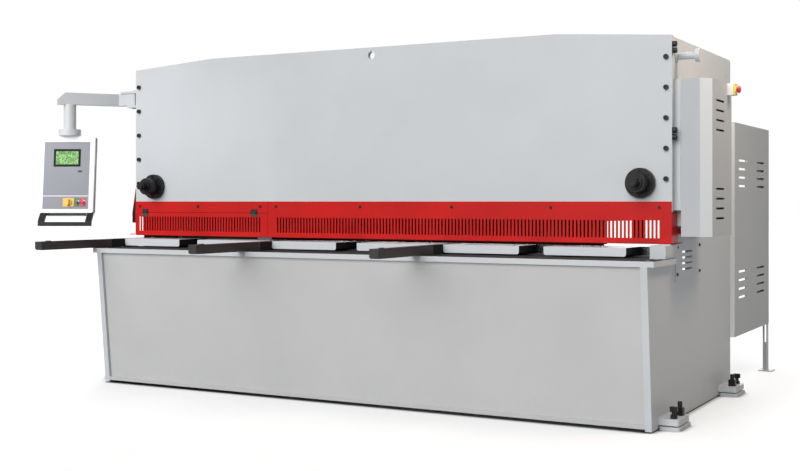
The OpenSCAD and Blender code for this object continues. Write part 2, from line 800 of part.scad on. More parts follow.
// Plates over the throat: the right one is low and has four slots, the left one closes it
module throat_covers() {
    color(paint) place() {
        difference() {
            union() {
                block([side_out, cover_front, cover_low], [side_out + cover_t, cover_rear, table_h + 37]);
                // Upper part between the front plate and the cabinet
                block([side_out, plate_rear + 1, table_h + 16],
                    [side_out + cover_t, stay_y + 19.5, plate_bottom + 5]);
            }
            for (i = [0:3]) block([side_out - 1, cover_front + 107, cover_low + 55 + i * 29],
                [side_out + cover_t + 1, cover_front + 293, cover_low + 65 + i * 29]);
            at_cover_screws(0) cover_screw_hole();
        }
        mirror([1, 0, 0]) difference() {
            side_profile(side_out, cover_t) polygon([[bed_rear + 4, cover_low], [cover_rear, cover_low],
                [cover_rear, throat_top + 14], [plate_rear + 36, throat_top + 14],
                    [plate_rear + 36, table_h + 1],
                [bed_rear + 4, table_h + 1]]);
            at_cover_screws(46) cover_screw_hole();
        }
    }
}

module at_cover_screws(front_shift) {
    for (y = [cover_front + 14 + front_shift, cover_rear - 14], z = [cover_low + 38, table_h])
        point_right([side_out + cover_t, y, z]) children();
}

module cover_screw_hole() { translate([0, 0, -cover_t - 1]) cylinder(d = 7.4, h = cover_t + 2, $fn = 24); }

// A welded tube with an end disc, for a lifting sling
module lifting_trunnion() {
    color(paint) place() point_right([side_out, trunnion_y, trunnion_z]) {
        cylinder(d = 60, h = 10);
        cylinder(d = 36, h = 104);
        translate([0, 0, 103]) cylinder(d = 66, h = 22);
    }
}

// ---- Feet ----

module at_feet() {
    for (s = [-1, 1]) mirror([s < 0 ? 1 : 0, 0, 0]) {
        translate([foot_bolt_x, foot_front_y, 0]) children();
        translate([foot_bolt_x, foot_rear_y + foot_l, 0]) mirror([0, 1, 0]) children();
    }
}

module levelling_pads() {
    color([0.7, 0.71, 0.72]) place() at_feet() difference() {
        linear_extrude(foot_pad_t) round_rect([side_out - foot_out + 36, -6], [40, foot_l + 6], 16);
        rod_z([0, anchor_at, foot_pad_t - 8], 20, 9);
    }
}

// Anchor bolt with a T head, and the jack screw in its block
module levelling_screws() {
    top = foot_plate_z + foot_plate_t;
    color(black) place() at_feet() {
        rod_z([0, anchor_at, foot_pad_t - 8], 20, top + 44 - foot_pad_t + 8);
        block([-18, anchor_at - 9, top + 32], [18, anchor_at + 9, top + 56]);
        translate([0, anchor_at, top]) cylinder(d = 34, h = 16, $fn = 6);
        rod_z([0, jack_at, foot_pad_t], 22, top + 66 - foot_pad_t);
        block([-18, jack_at - 18, top], [18, jack_at + 18, top + 36]);
    }
}

// ---- Rear fences ----

module fence_panel() {
    x0 = fence_out - fence_sheet;
    difference() {
        union() {
            block([x0, frame_depth, fence_bottom], [fence_out, fence_rear, fence_top]);
            block([side_out, frame_depth + 0.2, fence_bottom],
                [fence_out, frame_depth + fence_sheet, fence_top]);
            block([side_out, frame_depth + 0.2, fence_top - fence_sheet],
                [fence_out, fence_rear, fence_top]);
            block([side_out, frame_depth + 0.2, fence_bottom],
                [fence_out, fence_rear, fence_bottom + fence_sheet]);
            block([side_out - 12, fence_rear - fence_sheet, fence_bottom],
                [fence_out, fence_rear, fence_top]);
            // Folded inner skin over the rear part
            block([side_out, fence_skin, fence_bottom], [side_out + fence_sheet, fence_rear, fence_top]);
            block([side_out, fence_skin, fence_bottom], [fence_out, fence_skin + fence_sheet, fence_top]);
            for (z = [fence_bottom + 160, fence_top - 160])
                block([side_out - 40, frame_depth + 0.2, z - 30], [side_out + 1, frame_depth + 6, z + 30]);
        }
        for (y = fence_slot_y, z = fence_slot_z) block([x0 - 1, y, z - 6],
            [fence_out + 1, y + fence_slot_l, z + 6]);
    }
}

module fences() { color(paint_dark) place() for (s = [-1, 1]) mirror([s < 0 ? 1 : 0, 0, 0]) fence_panel(); }

// An angle post with a slotted upper end, bolted inside the fence's rear corner
module fence_legs() {
    t = 5;
    x1 = fence_out - fence_sheet - 0.2;
    y1 = fence_rear + t;
    color(paint_dark) place() for (s = [-1, 1]) mirror([s < 0 ? 1 : 0, 0, 0]) {
        difference() {
            union() {
                block([x1 - 35, fence_rear + 0.02, 0], [x1, y1, fence_bottom + 260]);
                block([x1 - t, fence_rear - 40, 0], [x1, y1, fence_bottom - 1]);
                block([x1 - 50, box_rear - fence_foot_l, 0], [x1 + 36, box_rear, 6]);
            }
            block([x1 - 24, fence_rear - 1, fence_bottom - 120], [x1 - 12, y1 + 1, fence_bottom - 6]);
        }
        for (z = [fence_bottom + 40, fence_bottom + 220])
            translate([x1 - 18, y1, z]) rotate([-90, 0, 0]) cylinder(d = 18, h = 9, $fn = 6);
    }
}

// ---- Emergency stop ----

module estop_box() {
    color([0.93, 0.93, 0.92]) place() side_profile(cabinet_out, estop_box_t)
        round_rect([estop_y - 26, estop_z - 30], [estop_y + 25, estop_z + 30], 4);
}

module estop_lid() {
    x = cabinet_out + estop_box_t;
    color([0.95, 0.8, 0.15]) place() difference() {
        union() {
            side_profile(x, estop_lid_t - 4) round_rect([estop_y - 26, estop_z - 30],
                [estop_y + 25, estop_z + 30], 4);
            rod_x([x, estop_y, estop_z], 34, estop_lid_t);
        }
        rod_x([x + 2, estop_y, estop_z], 16 + 2 * slide_gap, estop_lid_t);
    }
}

module estop_button() {
    x = cabinet_out + estop_box_t + 6.5;
    color([0.8, 0.1, 0.12]) place() point_right([x, estop_y, estop_z])
        rotate_extrude() polygon([[0, 0], [8, 0], [8, 13.5], [16, 13.5], [19, 17], [19, 20], [16, 24.5],
            [9, 27.5], [0, 27.5]]);
}

// ---- Pendant ----

module pendant_bracket() {
    z0 = arm_low_z - face_gap;
    z1 = arm_low_z + arm_box_h + face_gap;
    x1 = -side_out;
    color(paint) place() {
        block([x1 - 12, pivot_y - 46, z0 - 40], [x1, pivot_y + 46, z1 + 40]);
        translate([0, 0, z1]) linear_extrude(14) round_rect([pivot_x - 88, pivot_y - 34],
            [x1 - 11, pivot_y + 34], 10);
        translate([0, 0, z0 - 14]) linear_extrude(14) round_rect([pivot_x - 34, pivot_y - 34],
            [x1 - 11, pivot_y + 34], 10);
        rod_z([pivot_x, pivot_y, z0 - 20], 30, z1 - z0 + 40);
        // The web between the two lugs stays clear of the arm's corners as it swings
        block([pivot_x + arm_box_w * 0.7072 + 2, pivot_y - 8, z0 - 1], [x1 - 11, pivot_y + 8, z1 + 1]);
        translate([pivot_x, pivot_y, z1 + 13]) cylinder(d = 26, h = 8, $fn = 6);
    }
}

// The swinging arm: box with its pivot bore, elbow, forward box and the drop tube
module pendant_arm() {
    w = arm_box_w / 2;
    top = arm_low_z + arm_box_h;
    color(paint) place() {
        difference() {
            union() {
                block([elbow_x, pivot_y - w, arm_low_z], [pivot_x + w, pivot_y + w, top]);
                rod_z([elbow_x, pivot_y, arm_low_z], arm_box_w + 2, arm_box_h);
                translate([elbow_x, pivot_y, 0]) rotate([0, 0, arm_angle - 180])
                    front_profile(-w, arm_box_w)
                    polygon([[0, arm_low_z], [0, top], [-pendant_arm_l - 30, top],
                        [-pendant_arm_l - 75, top - 42],
                        [-pendant_arm_l - 75, arm_low_z]]);
            }
            rod_z([pivot_x, pivot_y, arm_low_z - 1], 30 + 2 * slide_gap, arm_box_h + 2);
        }
        rod_z([tube_x, tube_y, collar_z + collar_h], tube_d, arm_low_z - collar_z - collar_h + 1);
    }
}

module pendant_collar() {
    color(paint) place() translate([tube_x, tube_y, collar_z]) difference() {
        cylinder(d = 135, h = collar_h);
        for (a = [0:90:270]) rotate([0, 0, a]) translate([53, 0, collar_h - 8])
            cylinder(d = 12, h = 9, $fn = 24);
    }
}

// The case frame: local X to the operator's right, local Y away from the operator.
// The case tilts about its top edge
module at_case() {
    translate([tube_x, tube_y, case_z]) rotate([0, 0, case_yaw]) translate([case_dx, case_dy, 0])
        rotate([-case_tilt, 0, 0]) children();
}

module case_slab(w, h, y0, t, r) {
    front_profile(y0, t) round_rect([-w / 2, -h / 2], [w / 2, h / 2], r);
}

// The pale front frame around the face panel
module pendant_case() {
    color([0.93, 0.93, 0.94]) place() at_case() difference() {
        case_slab(case_w, case_h, -case_front_t, case_front_t, 10);
        front_profile(-case_front_t - 1, 4.5) square_from([-face_w / 2 - 0.5, face_bottom - 0.5],
            [face_w / 2 + 0.5, face_top + 0.5]);
        front_profile(-case_front_t, case_front_t + 1) square_from([-face_w / 2 + 8, face_bottom + 8],
            [face_w / 2 - 8, face_top - 8]);
    }
}

// The dark rear shell, with a bulge below and a boss to the collar
module pendant_shell() {
    wall = 3;
    color([0.32, 0.34, 0.33]) place() {
        at_case() difference() {
            union() {
                case_slab(case_w, case_h - 6, 0.1, case_rear_t - 0.1, 6);
                block([-case_w / 2 + 50, 2, -case_h / 2 - 14],
                    [case_w / 2 - 50, case_rear_t - 4, -case_h / 2 + 4]);
            }
            block([-case_w / 2 + wall, -1, -case_h / 2 + 8],
                [case_w / 2 - wall, case_rear_t - wall, case_h / 2 - 40]);
        }
        translate([tube_x, tube_y, 0]) rotate([0, 0, case_yaw])
            rod_z([0, 21, collar_z - 30], 34, 30 - slide_gap);
    }
}

module pendant_face() {
    color([0.65, 0.66, 0.7]) place() at_case() difference() {
        front_profile(-case_front_t, 3) square_from([-face_w / 2, face_bottom], [face_w / 2, face_top]);
        front_profile(-case_front_t - 1, 5) translate([screen_x, screen_z])
            square([screen_w + 1, screen_h + 1], center = true);
        for (x = control_x) rod_y([x, -case_front_t - 1, control_z], 17, 5);
        front_profile(-case_front_t - 1, 5) translate([lock_x, lock_z]) square([15, 7], center = true);
        block([-face_w / 2 - 1, -case_front_t - 1, face_bottom + 78],
            [face_w / 2 + 1, -case_front_t + 0.8, face_bottom + 83]);
    }
}

module pendant_screen() {
    bezel = 13;
    color([0.1, 0.11, 0.11]) place() at_case() difference() {
        front_profile(-case_front_t - 2, 14) translate([screen_x, screen_z])
            square([screen_w, screen_h], center = true);
        front_profile(-case_front_t - 3, 2.5) translate([screen_x, screen_z])
            square([screen_w - 2 * bezel, screen_h - 2 * bezel], center = true);
    }
}

// A flat key switch
module pendant_lock() {
    color(black) place() at_case() {
        front_profile(-case_front_t - 3, 3) hull() for (s = [-1, 1]) translate([lock_x + s * 7, lock_z])
            circle(d = 11);
        front_profile(-case_front_t - 1, 18) translate([lock_x, lock_z]) square([14.4, 6.4], center = true);
    }
}

// A push button: a domed round cap on a stem
module push_cap(x) {
    translate([x, -case_front_t - 6, control_z]) rotate([90, 0, 0]) rotate_extrude()
        polygon([[0, -20], [7.5, -20], [7.5, 0], [13, 0], [13, 5], [10, 7.5], [0, 8]]);
}

module start_button() { color([0.12, 0.45, 0.25]) place() at_case() push_cap(control_x[1]); }
module stop_button() { color([0.85, 0.2, 0.22]) place() at_case() push_cap(control_x[2]); }

// The main switch: a round boss with a turning grip
module main_switch() {
    color([0.95, 0.77, 0.25]) place() at_case() {
        rod_y([control_x[0], -case_front_t - 8, control_z], 40, 7);
        block([control_x[0] - 6, -case_front_t - 22, control_z - 18],
            [control_x[0] + 6, -case_front_t - 7, control_z + 18]);
        rod_y([control_x[0], -case_front_t - 6, control_z], 15, 26);
    }
}

// A bent flat-bar handle that comes forward as it goes down
module pendant_handle() {
    half = case_w / 2 - 7;
    z0 = -case_h / 2;
    color([0.27, 0.27, 0.28]) place() at_case() translate([10, 0, 0]) {
        for (s = [-1, 1]) mirror([s < 0 ? 1 : 0, 0, 0]) side_profile(half - 36, 36)
            polygon([[2, z0], [-20, z0], [-66, z0 - 53], [-66, z0 - 85], [-44, z0 - 85], [-44, z0 - 58]]);
        block([-half + 1, -66, z0 - 85], [half - 1, -44, z0 - 62]);
    }
}

// ---- Cutting beam ----

function blade_edge(x) = blade_mid_z + x * rake_slope;

module upper_blade() {
    h = blade_len / 2;
    color(tool_steel) place() difference() {
        front_profile(upper_y, blade_t) polygon([[-h, blade_edge(-h)], [h, blade_edge(h)],
            [h, blade_edge(h) + blade_h], [-h, blade_edge(-h) + blade_h]]);
        for (i = [0:blade_screws - 1]) {
            x = blade_screw_x(i);
            rod_y([x, upper_y - 1, blade_edge(x) + blade_h / 2 + 12], 14, blade_t + 2);
            rod_y([x, upper_y - 1, blade_edge(x) + blade_h / 2 + 12], 24, 11);
        }
    }
}

// The beam: a raked plate with a top flange, stiffening ribs and a clevis with its pin for each ram
module cutting_beam() {
    h = side_in - 44;
    over = 8;
    color(paint_dark) place() {
        front_profile(beam_y, beam_t) polygon([[-h, blade_edge(-h) + over], [h, blade_edge(h) + over],
            [h, beam_top], [-h, beam_top]]);
        block([-ram_x + 130, beam_rear - 1, beam_top - 34], [ram_x - 130, beam_rear + 150, beam_top]);
        for (i = [-4:4]) side_profile(i * 0.2 * ram_x - 8, 16)
            polygon([[beam_rear - 1, blade_edge(0) + 200], [beam_rear + 140, beam_top - 33],
                [beam_rear - 1, beam_top - 33]]);
        for (s = [-1, 1]) {
            x0 = s * ram_x - 60;
            for (y = [ram_y - rod_eye_t / 2 - 31, ram_y + rod_eye_t / 2 + 1])
                side_lug(x0, y);
            rod_y([s * ram_x, ram_y - rod_eye_t / 2 - 32, pin_z], pin_d, rod_eye_t + 64);
            block([x0, beam_rear - 1, pin_z - 110], [x0 + 120, ram_y + rod_eye_t / 2 + 31, pin_z - 70]);
        }
    }
}

module side_lug(x0, y) {
    front_profile(y, 30) {
        translate([x0, pin_z - 100]) square([120, 60]);
        translate([x0 + 20, pin_z - 50]) square([80, 50]);
        translate([x0 + 60, pin_z]) circle(d = 80);
    }
}

module ram_rod(s) {
    color(steel) place() {
        difference() {
            union() {
                rod_y([s * ram_x, ram_y - rod_eye_t / 2, pin_z], rod_eye_d, rod_eye_t);
                rod_z([s * ram_x, ram_y, pin_z + 30], rod_eye_t, 25);
                rod_z([s * ram_x, ram_y, pin_z + 50], rod_d, rod_top - pin_z - 50);
            }
            rod_y([s * ram_x, ram_y - rod_eye_t / 2 - 1, pin_z], pin_d + 2 * slide_gap, rod_eye_t + 2);
        }
    }
}

module ram_rod_left() { ram_rod(-1); }
module ram_rod_right() { ram_rod(1); }

module cylinder_barrels() {
    color([0.25, 0.26, 0.28]) place() for (s = [-1, 1]) difference() {
        union() {
            rod_z([s * ram_x, ram_y, barrel_bottom], barrel_d, barrel_top - barrel_bottom);
            rod_z([s * ram_x, ram_y, barrel_top], barrel_d - 30, 24);
            rod_z([s * ram_x, ram_y, barrel_bottom - 16], rod_d + 46, 17);
        }
        rod_z([s * ram_x, ram_y, barrel_bottom - 17], rod_d + 3, rod_top - barrel_bottom + 80);
    }
}

// ---- Back gauge ----

// Two channel rails, open below, on the beam's rear face, with end plates that hold the screws
module gauge_rails() {
    color(steel) place() for (s = [-1, 1]) {
        x = s * rail_x;
        difference() {
            block([x - rail_w / 2, beam_rear, rail_z], [x + rail_w / 2, rail_end, rail_z + rail_h]);
            block([x - rail_w / 2 + rail_wall, beam_rear + 14, rail_z - 1],
                [x + rail_w / 2 - rail_wall, rail_end - 12, rail_z + rail_h - rail_wall]);
            rod_y([x, beam_rear + 13, gauge_screw_z], 25 + 2 * slide_gap, rail_end - beam_rear);
        }
    }
}

module gauge_screw(s) {
    x = s * rail_x;
    color([0.75, 0.76, 0.78]) place() {
        rod_y([x, beam_rear + 15, gauge_screw_z], gauge_screw_d, rail_end - beam_rear - 28);
        rod_y([x, beam_rear + 15, gauge_screw_z], 25, rail_end - beam_rear + 40);
        rod_y([x, rail_end + 10, gauge_screw_z], 74, 26);
    }
}

module gauge_screw_left() { gauge_screw(-1); }
module gauge_screw_right() { gauge_screw(1); }

// The stop beam hangs under both rails from a nut block on each screw
module gauge_beam() {
    low = table_h - 22;
    top = rail_z - 12;
    color([0.2, 0.2, 0.21]) place() {
        block([-gauge_len / 2, gauge_y, low + 10], [gauge_len / 2, gauge_y + gauge_t, top]);
        for (i = [-2:2]) block([i * 0.235 * gauge_len - 40, gauge_y - 14, low],
            [i * 0.235 * gauge_len + 40, gauge_y + 30, top - 20]);
        for (s = [-1, 1]) difference() {
            union() {
                block([s * rail_x - 26, gauge_y - 10, top - 1],
                    [s * rail_x + 26, gauge_y + gauge_t + 10, gauge_screw_z + 26]);
                block([s * rail_x - 60, gauge_y - 20, top - 14],
                    [s * rail_x + 60, gauge_y + gauge_t + 20, rail_z - face_gap]);
            }
            rod_y([s * rail_x, gauge_y - 21, gauge_screw_z], gauge_screw_d + 2 * slide_gap, gauge_t + 42);
        }
    }
}

// The motor drives the right screw; a toothed belt and shaft link it to the left one
module gauge_motor() {
    color([0.2, 0.22, 0.25]) place() {
        block([rail_x + rail_w / 2 + 0.2, rail_end - 260, rail_z + 4],
            [rail_x + rail_w / 2 + 110, rail_end - 20, rail_z + 110]);
        rod_y([rail_x + rail_w / 2 + 56, rail_end - 21, rail_z + 56], 40, 30);
    }
}

// ---- Hydraulics and chute ----

module oil_tank() {
    y1 = frame_depth - 10;
    z0 = tie_z + tie_h;
    color(paint) place() difference() {
        block([-tank_w / 2, y1 - tank_depth, z0], [tank_w / 2, y1, z0 + tank_h]);
        rod_z([-tank_w / 2 + 90, y1 - 90, z0 + tank_h - 6], 70, 7);
        rod_y([-tank_w / 2 + 90, y1 - 6, z0 + 160], 34, 7);
    }
}

// Motor, pump and the valve block on the tank's top and front
module power_unit() {
    y1 = frame_depth - 10;
    z0 = tie_z + tie_h + tank_h;
    color([0.18, 0.28, 0.42]) place() {
        rod_x([-40, y1 - 150, z0 + 74], 120, 230);
        block([-20, y1 - 200, z0], [170, y1 - 100, z0 + 12]);
        block([0, y1 - 190, z0 + 11], [150, y1 - 110, z0 + 40]);
        block([-240, y1 - 210, z0], [-90, y1 - 90, z0 + 90]);
        rod_x([-91, y1 - 150, z0 + 74], 50, 52);
        for (i = [0:2]) block([-230 + i * 50, y1 - 250, z0 + 20], [-196 + i * 50, y1 - 209, z0 + 62]);
    }
}

// A folded sheet slide under the cut, which carries cut parts to the rear
module rear_chute() {
    y0 = cut_y + 100;
    y1 = frame_depth - 40;
    z0 = table_h - 260;
    z1 = 300;
    t = 4;
    half = side_in - 22;
    color(paint_dark) place() {
        side_profile(-half, 2 * half) polygon([[y0, z0], [y1, z1], [y1, z1 + t], [y0, z0 + t + 2]]);
        for (s = [-1, 1]) mirror([s < 0 ? 1 : 0, 0, 0]) side_profile(half, 20.5)
            polygon([[y0, z0 - 30], [y1, z1 - 30], [y1, z1 + 30], [y0, z0 + t + 2]]);
    }
}

side_frame_left();
side_frame_right();
base_front_panel();
rear_tie_beam();
table_plate();
bed_beam();
lower_blade();
table_pads();
table_end_blocks();
support_arms();
arm_stop_1();
arm_stop_2();
arm_stop_3();
front_plate();
cap_screws();
hold_down_beam();
hold_down_barrels();
hold_down_feet();
guide_units();
guard_left_rail();
guard_flap();
guard_hinges();
guard_flap_leaves();
guard_right();
cabinet_back();
cabinet_cover();
throat_covers();
lifting_trunnion();
levelling_pads();
levelling_screws();
fences();
fence_legs();
estop_box();
estop_lid();
estop_button();
pendant_bracket();
pendant_arm();
pendant_collar();
pendant_case();
pendant_shell();
pendant_face();
pendant_screen();
pendant_handle();
pendant_lock();
start_button();
stop_button();
main_switch();
cutting_beam();
upper_blade();
cylinder_barrels();
ram_rod_left();
ram_rod_right();
gauge_rails();
gauge_screw_left();
gauge_screw_right();
gauge_beam();
gauge_motor();
oil_tank();
power_unit();
rear_chute();
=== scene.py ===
# %% [markdown]
# A hydraulic guillotine shear, finished for rendering. The solids come from the CAD pack
# and keep their places. This file gives every one of them its real finish, and adds the
# small things that a CAD part leaves out: screws, threads, weld beads, pipes, the control
# panel's plates and thin closing sheets.

# %% Load the machine
import json
import math

import bmesh
import bpy
from mathutils import Euler, Matrix, Vector


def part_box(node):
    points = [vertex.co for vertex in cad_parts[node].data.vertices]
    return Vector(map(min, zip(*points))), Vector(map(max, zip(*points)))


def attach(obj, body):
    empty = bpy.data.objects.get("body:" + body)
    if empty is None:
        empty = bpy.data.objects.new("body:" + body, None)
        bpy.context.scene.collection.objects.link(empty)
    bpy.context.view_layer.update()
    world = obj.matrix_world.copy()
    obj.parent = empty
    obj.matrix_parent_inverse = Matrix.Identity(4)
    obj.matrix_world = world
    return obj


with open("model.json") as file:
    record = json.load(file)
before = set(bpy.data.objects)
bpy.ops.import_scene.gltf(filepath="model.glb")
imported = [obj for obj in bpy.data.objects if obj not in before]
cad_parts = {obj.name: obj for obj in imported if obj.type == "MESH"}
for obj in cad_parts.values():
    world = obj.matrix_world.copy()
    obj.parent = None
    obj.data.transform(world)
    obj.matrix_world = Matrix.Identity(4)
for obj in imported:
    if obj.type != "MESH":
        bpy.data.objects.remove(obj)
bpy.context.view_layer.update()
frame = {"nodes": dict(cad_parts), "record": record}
scene = bpy.context.scene
record = frame["record"]

# %% [markdown]
# Places on the machine are easiest to give from its table: along the blades from the
# table's middle, back from its front edge, and up from the floor. One function turns such
# a place into the shared frame, and another finds the separate solids of a CAD node, so
# that a screw head can be found without repeating its numbers.

# %% Places on the machine
table_low, table_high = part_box("table_plate")
MIDDLE_X, FRONT_Y = (table_low.x + table_high.x) / 2, table_low.y


def at(x, y, z):
    return Vector((MIDDLE_X + x, FRONT_Y + y, z))


def middle_of(node):
    low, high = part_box(node)
    return (low + high) / 2


def islands(node):
    """(lowest corner, highest corner) of every separate solid of a CAD node."""
    mesh = frame["nodes"][node].data
    spots = [tuple(round(number, 5) for number in vertex.co) for vertex in mesh.vertices]
    leader = {spot: spot for spot in spots}

    def top(spot):
        while leader[spot] != spot:
            leader[spot] = leader[leader[spot]]
            spot = leader[spot]
        return spot

    for edge in mesh.edges:
        leader[top(spots[edge.vertices[0]])] = top(spots[edge.vertices[1]])
    groups = {}
    for spot in leader:
        groups.setdefault(top(spot), []).append(spot)
    return [(Vector(map(min, zip(*group))), Vector(map(max, zip(*group)))) for group in groups.values()]


print("table middle", round(MIDDLE_X, 4), "front edge", round(FRONT_Y, 4))
print("cap screws found:", len(islands("cap_screws")))

# %% [markdown]
# Shader maths reads best as plain arithmetic. This class wraps one socket: adding or
# multiplying two of them adds a Math node, and `1 - mask` works too. Colours go through
# Mix, because a Math node would turn them grey.

# %% A socket that does arithmetic
def feed(tree, node, inputs):
    """Link a wrapped value to its socket of a node, and set a plain one."""
    for key, value in inputs.items():
        if isinstance(value, Field):
            tree.links.new(value.socket, node.inputs[key])
        else:
            node.inputs[key].default_value = value


class Field:
    def __init__(self, tree, socket):
        self.tree, self.socket = tree, socket

    def node(self, kind, settings=None, inputs=None, out=0):
        made = self.tree.nodes.new(kind)
        for key, value in (settings or {}).items():
            setattr(made, key, value)
        feed(self.tree, made, inputs or {})
        return Field(self.tree, made.outputs[out])

    def math(self, operation, *values):
        return self.node("ShaderNodeMath", {"operation": operation}, dict(enumerate(values)))

    def vector(self, operation, *values, out=0):
        return self.node("ShaderNodeVectorMath", {"operation": operation}, dict(enumerate(values)), out)

    def __add__(self, other): return self.math("ADD", self, other)
    def __radd__(self, other): return self.math("ADD", other, self)
    def __sub__(self, other): return self.math("SUBTRACT", self, other)
    def __rsub__(self, other): return self.math("SUBTRACT", other, self)
    def __mul__(self, other): return self.math("MULTIPLY", self, other)
    def __rmul__(self, other): return self.math("MULTIPLY", other, self)
    def __truediv__(self, other): return self.math("DIVIDE", self, other)
    def __rtruediv__(self, other): return self.math("DIVIDE", other, self)
    def __gt__(self, other): return self.math("GREATER_THAN", self, other)
    def __lt__(self, other): return self.math("LESS_THAN", self, other)

    def parts(self):
        """The three numbers of a vector."""
        split = self.node("ShaderNodeSeparateXYZ", {}, {0: self})
        return [Field(self.tree, split.socket.node.outputs[axis]) for axis in range(3)]

    def span(self, low, high, to_low=0.0, to_high=1.0):
        """Map low..high to to_low..to_high, held at both ends."""
        return self.node("ShaderNodeMapRange", {"clamp": True},
                         {0: self, 1: low, 2: high, 3: to_low, 4: to_high})

    def blend(self, first, second):
        """The first colour where this is 0, the second where it is 1."""
        return self.node("ShaderNodeMix", {"data_type": "RGBA"}, {0: self, 6: first, 7: second}, 2)

    def noise(self, place, scale, detail=3.0, rough=0.5):
        return self.node("ShaderNodeTexNoise", {}, {"Vector": place, "Scale": scale, "Detail": detail,
                                                    "Roughness": rough})

    def streaks(self, place, grain, detail=3.0, rough=0.6):
        """Noise squeezed along each axis by its own amount."""
        return self.noise(self.vector("MULTIPLY", place, grain), 1.0, detail, rough)


print("operators ready")

# %% [markdown]
# Every finish starts the same way: a Principled shader, the place on the piece in metres,
# and a mask that finds edges. The mask compares the true normal with the one that the
# Bevel node rounds off, so it is 1 on an edge and 0 on a flat.

# %% One start for every finish
def start(name):
    """A new material, a wrapped socket to build on, and the place on the piece."""
    material = bpy.data.materials.new(name)
    material.use_nodes = True
    tree = material.node_tree
    root = Field(tree, tree.nodes["Principled BSDF"].outputs[0])
    return material, root, root.node("ShaderNodeTexCoord", out="Object")


def edges(root, radius):
    soft = root.node("ShaderNodeBevel", {"samples": 4}, {"Radius": radius})
    flat = root.node("ShaderNodeNewGeometry", out="Normal")
    return (1 - root.vector("DOT_PRODUCT", soft, flat, out=1)).span(0.02, 0.25)


def finish(material, colour, rough, height=None, depth=0.0, strength=0.0, **others):
    """Feed the Principled shader, with a bump of that depth where a height is given."""
    tree = material.node_tree
    inputs = {"Base Color": colour, "Roughness": rough}
    if height is not None:
        inputs["Normal"] = height.node("ShaderNodeBump", {},
                                       {"Strength": strength, "Distance": depth, "Height": height})
    for name, value in others.items():
        inputs[name.replace("_", " ")] = value
    feed(tree, tree.nodes["Principled BSDF"], inputs)
    return material


print("finish helpers ready")

# %% [markdown]
# No real coat has one even colour. A finish keeps its tone within a narrow band, which a
# noise moves up and down, and its gloss varies in the same way.

# %% Tones and gloss that vary
def rgba(colour):
    return (*colour[:3], 1.0)


def tinted(colour, factor):
    return rgba([min(1.0, channel * factor) for channel in colour])


def mottled(pattern, colour, dark, light):
    """The colour times two factors, mixed by a noise."""
    return pattern.span(0.3, 0.7).blend(tinted(colour, dark), tinted(colour, light))


def uneven(pattern, gloss, less, more):
    """A roughness that a noise moves a little below and above the given one."""
    return pattern.span(0.3, 0.7, gloss - less, gloss + more)


print("tone helpers ready")

# %% [markdown]
# Machine paint is sprayed on thick steel. It shows a fine orange peel, faint cloudy
# differences in gloss where it was wiped, a little grime near the floor, and edges rubbed
# down to a paler tone. Noise at three scales gives the first three, and the edge mask the
# last. An image could carry the same wear, but noise has no seams and needs no unwrapping.

# %% Sprayed machine paint
GRIME_TOP, GRIME_LOW = 0.32, 0.02


def machine_paint(name, colour, gloss=0.42, peel=320.0, rub=1.35, grime=0.08,
                  second=None, where=None, dull=0.0):
    material, root, place = start(name)
    cloud = root.noise(place, 2.3, 4.0)
    speck = root.noise(place, 38.0, 5.0, 0.7)
    height = place.parts()[2]
    low = height.span(GRIME_TOP, GRIME_LOW) * speck.span(0.35, 0.62) * grime
    worn = edges(root, 0.0022) * speck.span(0.44, 0.58)
    body = mottled(cloud, colour, 0.965, 1.03)
    rough = cloud.span(0.25, 0.75, gloss - 0.06, gloss + 0.08) + speck * 0.05
    if second:
        mask = where(root, place)
        body, rough = mask.blend(body, rgba(second)), rough + mask * dull
    body = low.blend(body, tinted(colour, 0.45))
    body = (worn * 0.6).blend(body, tinted(colour, rub))
    return finish(material, body, rough, root.noise(place, peel, 2.0), 0.0002, 0.22)


print("machine paint ready")

# %% [markdown]
# The table pads' front and top faces are machined bright, and only the cut faces shine. Their
# end and lower faces are painted black, as painted shade of the gaps between and under the
# pads. The true normal tells a front or top face from an end face.

# %% Table pads
PAD_GAP_SHADE = (0.004, 0.004, 0.004, 1.0)


def pad_finish(name, colour, gloss=0.4):
    material, root, place = start(name)
    along, _, up = root.node("ShaderNodeNewGeometry", out="Normal").parts()
    end_face = along.math("ABSOLUTE", along) > 0.6
    under = up < -0.5
    dark = end_face.math("MAXIMUM", end_face, under)
    lines = root.streaks(place, (9.0, 500.0, 500.0))
    cloud = root.noise(place, 5.0, 4.0)
    body = mottled(lines, colour, 0.96, 1.03)
    body = (cloud.span(0.5, 0.7) * 0.12).blend(body, tinted(colour, 0.7))
    # End and lower faces are painted black: painted shade of the gaps between and under the pads.
    body = dark.blend(body, PAD_GAP_SHADE)
    return finish(material, body, uneven(cloud, gloss, 0.05, 0.08) + dark * 0.5, lines, 0.0001, 0.2)


print("pad finish ready")

# %% [markdown]
# Bare steel is told by the marks of its tool. Turned, milled and ground faces carry fine
# lines, so a noise is squeezed along one axis until it becomes streaks. Blackened steel
# rubs through to bare metal at its edges, and a primed casting keeps its rough skin.

# %% Bare, blackened and primed metal
def tooled_steel(name, colour, gloss=0.3, grain=(600.0, 18.0, 600.0), stain=0.25, metallic=1.0):
    material, root, place = start(name)
    lines = root.streaks(place, grain)
    spots = root.noise(place, 24.0, 5.0, 0.65)
    oil = spots.span(0.52, 0.66) * stain
    body = oil.blend(mottled(lines, colour, 0.86, 1.1), tinted(colour, 0.5))
    rough = uneven(lines, gloss, 0.07, 0.09) + oil * 0.3
    return finish(material, body, rough, lines, 0.0001, 0.25, Metallic=metallic)


RUBBED_BARE = (0.10, 0.10, 0.11, 1.0)


